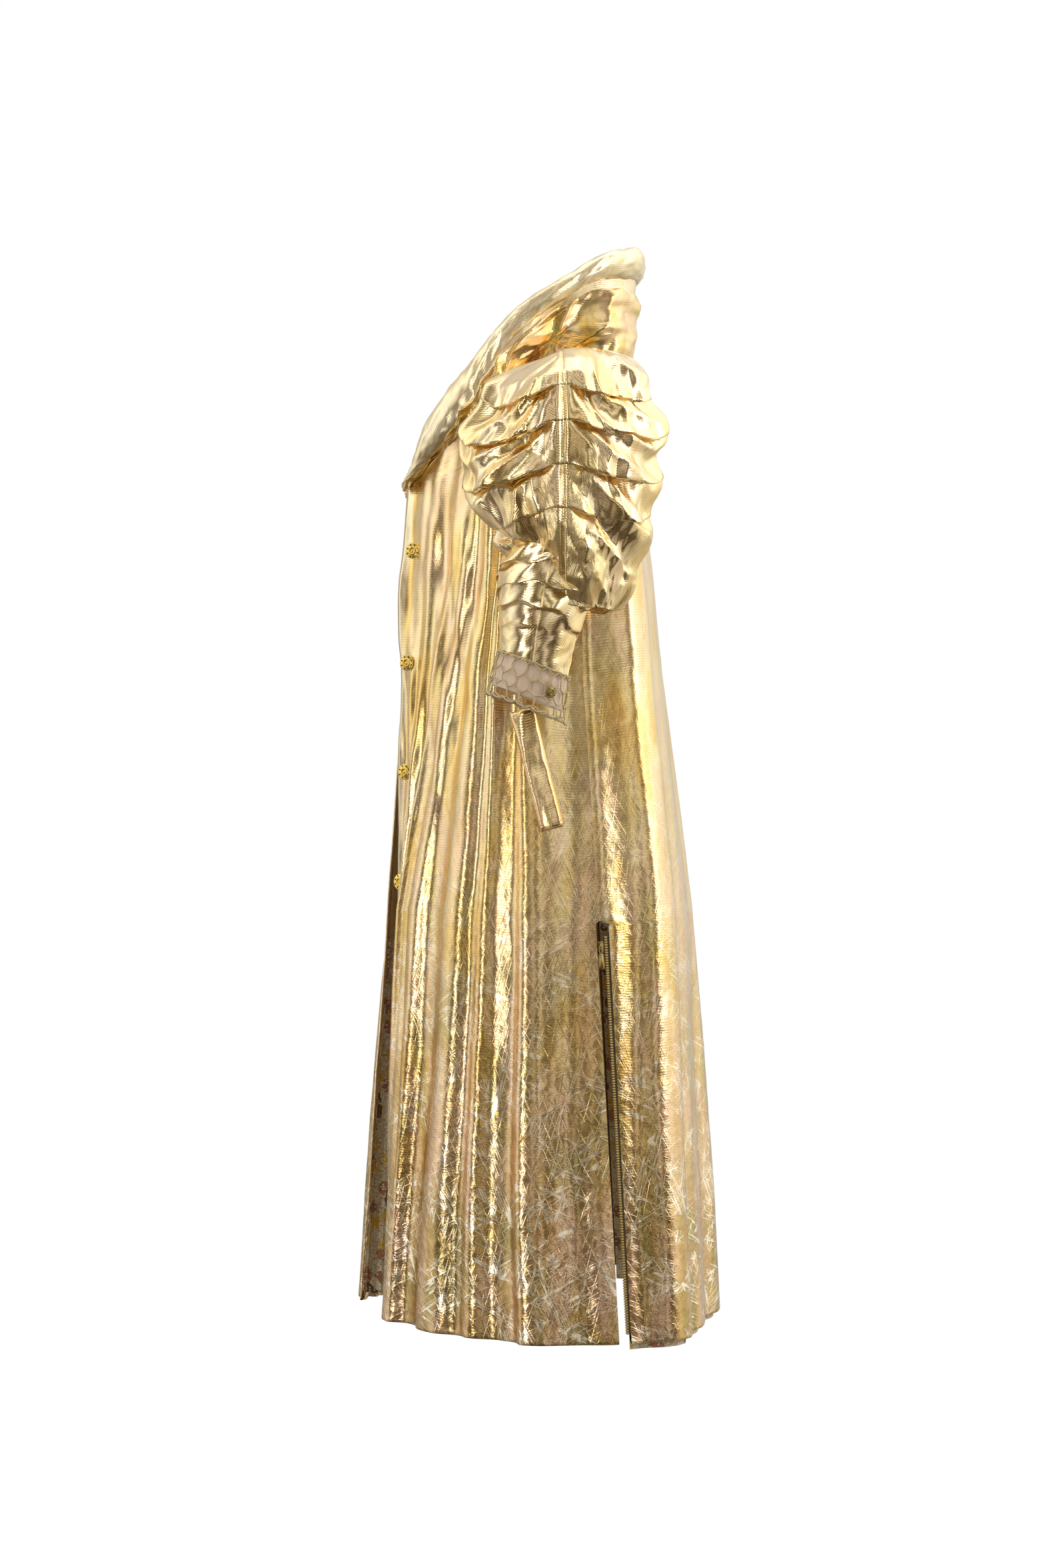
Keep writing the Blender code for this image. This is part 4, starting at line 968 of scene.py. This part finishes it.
for side in (1, -1):
    n = NAME[side]
    m = 260
    for half, phi in (("front", np.linspace(-math.pi, 0.0, m)), ("back", np.linspace(0.0, math.pi, m))):
        P = sleeve_head(side, phi)
        # Open the wall that faces the armhole
        mid = (P[1:, 1:] + P[:-1, :-1]) / 2
        oval = (mid[..., 1] / 0.074) ** 2 + ((mid[..., 2] - ARM_Z) / 0.094) ** 2
        keep = ~((np.abs(mid[..., 0]) < 0.222) & (oval < 1))
        o = grid(f"{n} sleeve head {half} cloth", P, SHELL_SLEEVE, turned_uv(P, 2.0), keep=keep,
                 flip=side < 0)
        made[n]["head_" + half] = dress(o, f"{n}_sleeve", "gold_lame", f"{n}_sleeve_head_{half}")
    ring = np.linspace(0, 2 * math.pi, 145)[:-1]
    P = armhole_band(side, ring)
    o = grid(f"{n} armhole gathers", P, SHELL_SLEEVE, flat_uv(P, 5.0), closed=True, flip=side > 0)
    made[n]["gathers"] = dress(o, f"{n}_sleeve", None)
    P = lower_sleeve(side, ring)
    o = grid(f"{n} lower sleeve cloth", P, SHELL_SLEEVE, turned_uv(P, 0.4), closed=True, flip=side < 0)
    made[n]["lower"] = dress(o, f"{n}_sleeve", "gold_lame", f"{n}_lower_sleeve")
    P = satin_cuff(side, ring)
    o = grid(f"{n} cuff satin", P, SATIN, flat_uv(P), closed=True, flip=side < 0)
    made[n]["cuff"] = dress(o, f"{n}_sleeve", "satin", f"{n}_cuff")
    dress(joined(f"{n} cuff net", cuff_net(side), CORD), f"{n}_sleeve", "net_cord", f"{n}_cuff_net")


# ---------------------------------------------------------------- fasteners
def oriented(centre, normal, up=(0, 0, 1)):
    z = np.asarray(normal, float) / np.linalg.norm(normal)
    x = np.cross(np.asarray(up, float), z)
    x /= np.linalg.norm(x)
    return np.asarray(centre, float), x, np.cross(z, x), z


def lathe_part(frame_, profile, seg=32):
    c, x, y, z = frame_
    angles = [2 * math.pi * i / seg for i in range(seg)]
    v = [c + x * r * math.cos(a) + y * r * math.sin(a) + z * h for r, h in profile for a in angles]
    return rings_part(v, len(profile), seg)


SNAP_RADIUS = 0.0105
PLATE = [(0.0105, 0.0), (0.0108, 0.0005), (0.0106, 0.0011), (0.0098, 0.0013), (0.0068, 0.0012),
         (0.0060, 0.0016),
         (0.0056, 0.0026), (0.0050, 0.0031), (0.0042, 0.0030), (0.0036, 0.0024)]
SOCKET = [(0.0034, 0.0016), (0.0026, 0.0012), (0.0020, 0.0020), (0.0008, 0.0023)]
STUD = [(0.0030, 0.0030), (0.0026, 0.0044), (0.0028, 0.0056), (0.0020, 0.0064), (0.0006, 0.0066)]


def snap(name, frame_, radius, mat, node, body, middle=SOCKET, holes=8, thread=True):
    """A sew-on snap: a stamped plate with a ring of sewing holes round a raised middle."""
    k = radius / SNAP_RADIUS
    c, x, y, z = frame_
    plate = lathe_part(frame_, [(r * k, h * k) for r, h in PLATE + middle], 36)
    dress(joined(name, [plate], mat), body, None, node)
    dots, stitches = [], []
    for i in range(holes):
        a = 2 * math.pi * (i + 0.5) / holes
        d = x * math.cos(a) + y * math.sin(a)
        spot = oriented(c + d * 0.0083 * k + z * 0.00118 * k, z)
        dots.append(lathe_part(spot, [(0.00115 * k, 0.0), (0.00115 * k, 0.00022 * k)], 10))
        if thread and i % 2 == 0:
            # Two strands from the hole over the rim
            for s in (-0.00045, 0.00045):
                w = np.cross(z, d) * s * k
                path = [c + d * out * k + w + z * rise * k
                        for out, rise in ((0.0084, 0.0011), (0.0098, 0.0018), (0.0112, 0.0004))]
                stitches.append(tube_part(path, 0.00028 * k, 5))
    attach(joined(name + " sewing holes", dots, DARK, smooth=False), body)
    if stitches:
        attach(joined(name + " thread", stitches, THREAD), body)


SNAP_HEIGHTS, SNAP_INSET = (1.032, 0.880, 0.733, 0.585), -0.0255
# Sockets lie outside the left front, tilted to the side; studs lie inside the right front
SNAP_HALVES = ((1, "socket", 1, SOCKET, 0.0, 0.75), (-1, "stud", -1, STUD, 0.0084, 0.0))
for i, h in enumerate(SNAP_HEIGHTS, start=1):
    hh = np.array([h])
    for side, kind, sign, middle, depth, tilt in SNAP_HALVES:
        pl = shifted(side, np.array([EDGE_PLACE]), hh, SNAP_INSET)
        nn = out_dir(side, pl, hh)[0] * sign
        p = body_cloth(side, pl, hh, depth)[0] + nn * (0.0018 + 0.0024) + TO_ROW
        snap(f"snap {kind} {i}", oriented(p, nn + np.array([tilt, 0, 0])), SNAP_RADIUS, BRASS,
             f"snap_{kind}_{i}", "coat", middle)
CUFF_SNAP_ANGLE, CUFF_SNAP_PLACE = math.radians(34), 0.885
for side in (1, -1):
    n = NAME[side]
    p, q = (forearm_ring(side, CUFF_SNAP_PLACE, radius, np.array([CUFF_SNAP_ANGLE]))[0] + TO_ROW
            for radius in (0.0525, 0.0400))
    snap(f"{n} cuff snap stud", oriented(p, p - q), 0.0078, ANTIQUE, f"{n}_cuff_snap", f"{n}_sleeve",
         holes=4, thread=False)

# ---------------------------------------------------------------- pockets
POCKET_LEAN, POCKET_LENGTH, POCKET_WIDTH = math.radians(14.5), 0.160, 0.031
POCKET_Y, POCKET_HEIGHT, POCKET_STITCH = 0.004, 0.736, 0.008


def pocket_place(side, R, W):
    """Place and height on the coat for distances along and across the slanted welt."""
    Y = POCKET_Y - R * math.sin(POCKET_LEAN) - W * math.cos(POCKET_LEAN)
    H = POCKET_HEIGHT + R * math.cos(POCKET_LEAN) - W * math.sin(POCKET_LEAN)
    return place_at_depth(side, H, Y, 0.5, 4.0), H


for side in (1, -1):
    n = NAME[side]
    half, half_width = POCKET_LENGTH / 2, POCKET_WIDTH / 2
    R, W = np.meshgrid(np.linspace(-half, half, 40), np.linspace(-half_width, half_width, 14), indexing="ij")
    pl, H = pocket_place(side, R, W)
    nn = out_dir(side, pl, H)
    edge = np.minimum(np.minimum(half_width - np.abs(W), half - np.abs(R)), 0.004) / 0.004
    lip = 0.0042 + 0.0030 * np.sqrt(np.clip(edge, 0, 1)) + 0.0022 * smoothstep(0.0, half_width, W)
    # Two lines of stitching across the lower end
    stitch = np.exp(-((R + half - POCKET_STITCH) / 0.0011) ** 2)
    stitch = stitch + np.exp(-((R + half - 0.0035) / 0.0009) ** 2)
    lip = lip - 0.0011 * stitch + 0.0009 * facets(R * 60, W * 60, 111)
    cloth = body_cloth(side, pl, H)
    # The welt's border goes down into the coat's cloth on all four sides
    P = np.pad(cloth - nn * 0.001, ((1, 1), (1, 1), (0, 0)), mode="edge")
    P[1:-1, 1:-1] = cloth + nn * lip[..., None]
    o = grid(f"{n} pocket welt cloth", P, SHELL, flat_uv(P, 4.4), flip=side > 0)
    made[n]["welt"] = dress(o, "coat", "gold_lame", f"{n}_pocket_welt")
    stitches = []
    for w in np.linspace(-half_width + 0.002, half_width - 0.002, 9):
        pl, H = pocket_place(side, np.full(2, -half + POCKET_STITCH), w + np.array([-0.0011, 0.0011]))
        ends = body_cloth(side, pl, H) + out_dir(side, pl, H) * 0.0070 + TO_ROW
        stitches.append(tube_part(ends, 0.00035, 5))
    dress(joined(f"{n} pocket stitching", stitches, THREAD), "coat", None)

# ---------------------------------------------------------------- zips
CHAIN_OFFSET, CHAIN_DEPTH, TOOTH_PITCH, ZIP_BOTTOM = 0.0086, 0.0058, 0.0033, 0.014
# Corners of the tape's section: distance from the teeth, and depth
TAPE_SECTION = ((0.0, 0.0006), (0.0, -0.0006), (0.014, -0.0004), (0.014, 0.0004))
SLIDER = ((-0.0030, -0.0090), (0.0030, -0.0090), (0.0043, -0.0060), (0.0049, 0.0), (0.0049, 0.0070),
          (0.0036, 0.0092),
          (0.0012, 0.0084), (0.0, 0.0070), (-0.0012, 0.0084), (-0.0036, 0.0092), (-0.0049, 0.0070),
          (-0.0049, 0.0),
          (-0.0043, -0.0060))
BRIDGE = ((-0.0050, 0.0020), (-0.0044, 0.0042), (-0.0015, 0.0052), (0.0030, 0.0050), (0.0052, 0.0040),
          (0.0056, 0.0020))
PULL = ((-0.0026, -0.0105), (0.0026, -0.0105), (0.0031, -0.0180), (0.0034, -0.0260), (0.0024, -0.0292),
        (0.0, -0.0302), (-0.0024, -0.0292), (-0.0034, -0.0260), (-0.0031, -0.0180))


def zip_frame(side, h, offset=0.0, depth=0.0):
    """A point by the slit with its directions across, up and out."""
    hh, seam = np.array([float(h)]), np.array([ZIP_PLACE])
    pl = shifted(side, seam, hh, offset)
    out = out_dir(side, pl, hh)[0]
    p = base_point(side, pl, hh)[0] - out * depth + TO_ROW
    up = base_point(side, seam, hh + 0.01)[0] - base_point(side, seam, hh - 0.01)[0]
    up /= np.linalg.norm(up)
    x = np.cross(up, out)
    x /= np.linalg.norm(x)
    return p, -side * x, up, np.cross(x, up)


for side in (1, -1):
    n = NAME[side]
    for edge_name, sgn in (("back", -1), ("front", 1)):
        rows = [[zip_frame(side, h, sgn * (CHAIN_OFFSET - 0.0010 + reach), CHAIN_DEPTH + dz)[0]
                 for reach, dz in TAPE_SECTION] for h in np.linspace(0.012, ZIP_TOP, 60)]
        P = np.array(rows) - TO_ROW
        o = grid(f"{n} zip tape {edge_name}", P, TAPE, flat_uv(P), closed=True, flip=side * sgn < 0)
        dress(o, "coat", "zip_tape", f"{n}_zip_{edge_name}")
        teeth = []
        for i in range(int((ZIP_TOP - ZIP_BOTTOM) / TOOTH_PITCH)):
            # The two rows of teeth are half a pitch apart
            h = ZIP_BOTTOM + TOOTH_PITCH * i + (TOOTH_PITCH / 2 if sgn > 0 else 0)
            p, x, up, nn = zip_frame(side, h, sgn * CHAIN_OFFSET, CHAIN_DEPTH)
            teeth.append(box_part(p, (0.0020, 0.00085, 0.0014), (x, up, nn)))
            teeth.append(box_part(p + nn * 0.0002, (0.0011, 0.0012, 0.0017), (x, up, nn)))
        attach(joined(f"{n} zip teeth {edge_name}", teeth, TEETH, smooth=False), "coat")
    p, x, up, nn = zip_frame(side, ZIP_TOP - 0.020, 0.0, CHAIN_DEPTH)
    if np.dot(np.cross(x, up), nn) < 0:
        x = -x

    def flat(origin, outline, level, wide=1.0):
        return [origin + x * a * wide + up * b + nn * level for a, b in outline]

    parts = [prism_part(flat(p, SLIDER, low), flat(p, SLIDER, high))
             for low, high in ((0.0012, 0.0022), (-0.0024, -0.0015))]
    parts += [box_part(p + up * 0.004, (0.0008, 0.0030, 0.0019), (x, up, nn)),
              tube_part([p + up * b + nn * c for b, c in BRIDGE], 0.0011, 8)]
    dress(joined(f"{n} zip slider body", parts, ANTIQUE), f"{n}_slider", "antique_brass", f"{n}_zip_slider")
    hinge = p + up * 0.0022 + nn * 0.0060
    loop = [hinge + x * 0.0022 * math.cos(a) - up * (0.0052 - 0.0052 * math.sin(a))
            for a in np.linspace(0, 2 * math.pi, 20)[:-1]]
    parts = [tube_part(loop, 0.00085, 8, closed=True),
             prism_part(flat(hinge, PULL, -0.0007), flat(hinge, PULL, 0.0009, 0.9)),
             tube_part(flat(hinge, PULL, 0.0, 0.97), 0.00085, 6, closed=True)]
    dress(joined(f"{n} zip pull tab", parts, ANTIQUE), f"{n}_pull", "antique_brass", f"{n}_zip_pull")

# ---------------------------------------------------------------- loop, pads, bags
lo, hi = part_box("hanger_loop")
ang = np.linspace(0, math.pi, 25)
out = np.stack([np.cos(ang), 0 * ang, -np.sin(ang)], -1)
middle = np.stack([0.027 * np.cos(ang), (lo.y + hi.y) / 2 + 0 * ang, hi.z - 0.025 * np.sin(ang)], -1)
STRAP_SECTION = ((0.0028, 0.0009), (0.0030, 0.0), (0.0028, -0.0009), (-0.0028, -0.0009), (-0.0030, 0.0),
                 (-0.0028, 0.0009))
P = np.stack([middle + out * dx + np.array([0, dy, 0]) for dx, dy in STRAP_SECTION], 1) - TO_ROW
dress(grid("hanger loop strap", P, SATIN, flat_uv(P), closed=True), "hanger_loop", "satin", "hanger_loop")
for side in (1, -1):
    n = NAME[side]
    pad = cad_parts[f"{n}_shoulder_pad"]
    pad.data.materials.clear()
    pad.data.materials.append(PAD)
    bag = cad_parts[f"{n}_pocket_bag"]
    bag.data.materials.clear()
    bag.data.materials.append(plain(f"{n} pocket bag cloth", (0.60, 0.45, 0.28), 0.7, 0.1, 0.0006, 900.0))

# ---------------------------------------------------------------- light and camera
world = bpy.data.worlds.new("studio")
bpy.context.scene.world = world
world.use_nodes = True
wt = world.node_tree
k = Nodes(wt)
d = k.add("ShaderNodeSeparateXYZ", {0: k.add("ShaderNodeTexCoord").outputs["Generated"]})
angle = k.plus(k.math("DIVIDE", k.math("ARCTAN2", d.outputs[1], d.outputs[0]), 2 * math.pi), 0.5)
# 0.5 is the camera's side, 0.75 behind the coat's back, 0.25 before its front
bands = k.ramp(angle, [
    (0.00, (0.9, 0.88, 0.84)), (0.14, (0.8, 0.77, 0.70)), (0.25, (2.0, 2.0, 1.98)), (0.30, (1.1, 1.06, 1.0)),
    (0.335, (0.05, 0.030, 0.010)), (0.370, (0.22, 0.15, 0.07)), (0.395, (1.9, 1.88, 1.82)),
    (0.42, (0.50, 0.40, 0.24)),
    (0.445, (0.045, 0.028, 0.01)), (0.472, (0.30, 0.22, 0.11)), (0.50, (1.5, 1.47, 1.40)),
    (0.518, (0.30, 0.21, 0.09)),
    (0.548, (0.05, 0.03, 0.01)), (0.578, (1.85, 1.83, 1.78)), (0.60, (0.45, 0.36, 0.22)),
    (0.635, (0.04, 0.025, 0.01)),
    (0.67, (0.55, 0.46, 0.32)), (0.72, (2.1, 2.1, 2.05)), (0.80, (1.9, 1.9, 1.85)),
    (1.00, (0.9, 0.88, 0.84))])
updown = k.ramp(k.plus(k.mul(d.outputs[2], 0.5), 0.5), [
    (0.0, (0.30, 0.26, 0.20)), (0.36, (0.62, 0.58, 0.50)), (0.50, (0.95, 0.94, 0.92)),
    (0.70, (1.25, 1.25, 1.24)),
    (1.0, (1.5, 1.5, 1.5))])
lit = k.vector("MULTIPLY", k.vector("MULTIPLY", bands, updown), (0.66, 0.67, 0.69))
is_cam = k.add("ShaderNodeLightPath").outputs["Is Camera Ray"]
colour = k.mix(is_cam, lit, (1.0, 1.0, 1.0))
bg = wt.nodes["Background"]
wt.links.new(colour, bg.inputs["Color"])
bg.inputs["Strength"].default_value = 1.0


def area_light(name, place, target, size, power):
    data = bpy.data.lights.new(name, "AREA")
    data.shape = "RECTANGLE"
    data.size, data.size_y = size
    data.energy = power
    o = link(bpy.data.objects.new(name, data))
    o.location = place
    o.rotation_euler = (Vector(target) - Vector(place)).to_track_quat("-Z", "Y").to_euler()


area_light("key", (3.0, -2.2, 1.4), (0, 0, -0.4), (0.5, 2.2), 14)
area_light("front low", (2.6, -1.9, -0.9), (-0.04, -0.2, -0.9), (0.5, 1.2), 9)
area_light("back rim", (1.6, 3.0, 0.6), (0, 0, -0.3), (0.8, 2.4), 18)
area_light("top", (0.4, 0.2, 2.6), (0, 0, -0.2), (1.4, 1.4), 6)

CAMERA_DISTANCE, VIEW_HEIGHT = 4.15, 2.156
cam = bpy.data.cameras.new("camera")
cam.sensor_fit = "VERTICAL"
cam.sensor_height = 36.0
cam.lens = cam.sensor_height * CAMERA_DISTANCE / VIEW_HEIGHT
cam_obj = link(bpy.data.objects.new("camera", cam))
cam_obj.location = (CAMERA_DISTANCE, -0.0145, 0.717 - LIFT)
cam_obj.rotation_euler = (math.pi / 2, 0, math.pi / 2)
bpy.context.scene.camera = cam_obj
bpy.context.scene.view_settings.view_transform = "Standard"

# ---------------------------------------------------------------- flat sizes of the pieces, listed and not used
# These flat areas were read off the modelled cloth and rounded, not worked out from a cutting pattern
CUTS = {"back": ((0.35, 1.30), 0.39, "hung"), "flank": ((0.38, 1.15), 0.34, "hung"),
                 "front": ((0.21, 1.30), 0.22, "hung"),
        "bl": ((0.35, 1.29), 0.37, "hung"), "sl": ((0.36, 1.12), 0.31, "hung"),
        "fl": ((0.13, 0.79), 0.082, "hung"),
        "ll": ((0.13, 0.50), 0.063, "hung"), "collar": ((0.52, 0.13), 0.050, "gathered"),
        "head_front": ((0.40, 0.42), 0.13, "gathered"), "head_back": ((0.42, 0.44), 0.15, "gathered"),
        "lower": ((0.42, 0.24), 0.085, "gathered"), "cuff": ((0.31, 0.12), 0.034, "folded"),
        "roll": ((0.52, 0.07), 0.036, "folded"), "cface": ((0.52, 0.10), 0.046, "gathered"),
        "welt": ((0.175, 0.050), 0.0080, "folded"), "gathers": ((0.50, 0.07), 0.030, "gathered")}
for side in (1, -1):
    for key, (flat, area, held) in CUTS.items():
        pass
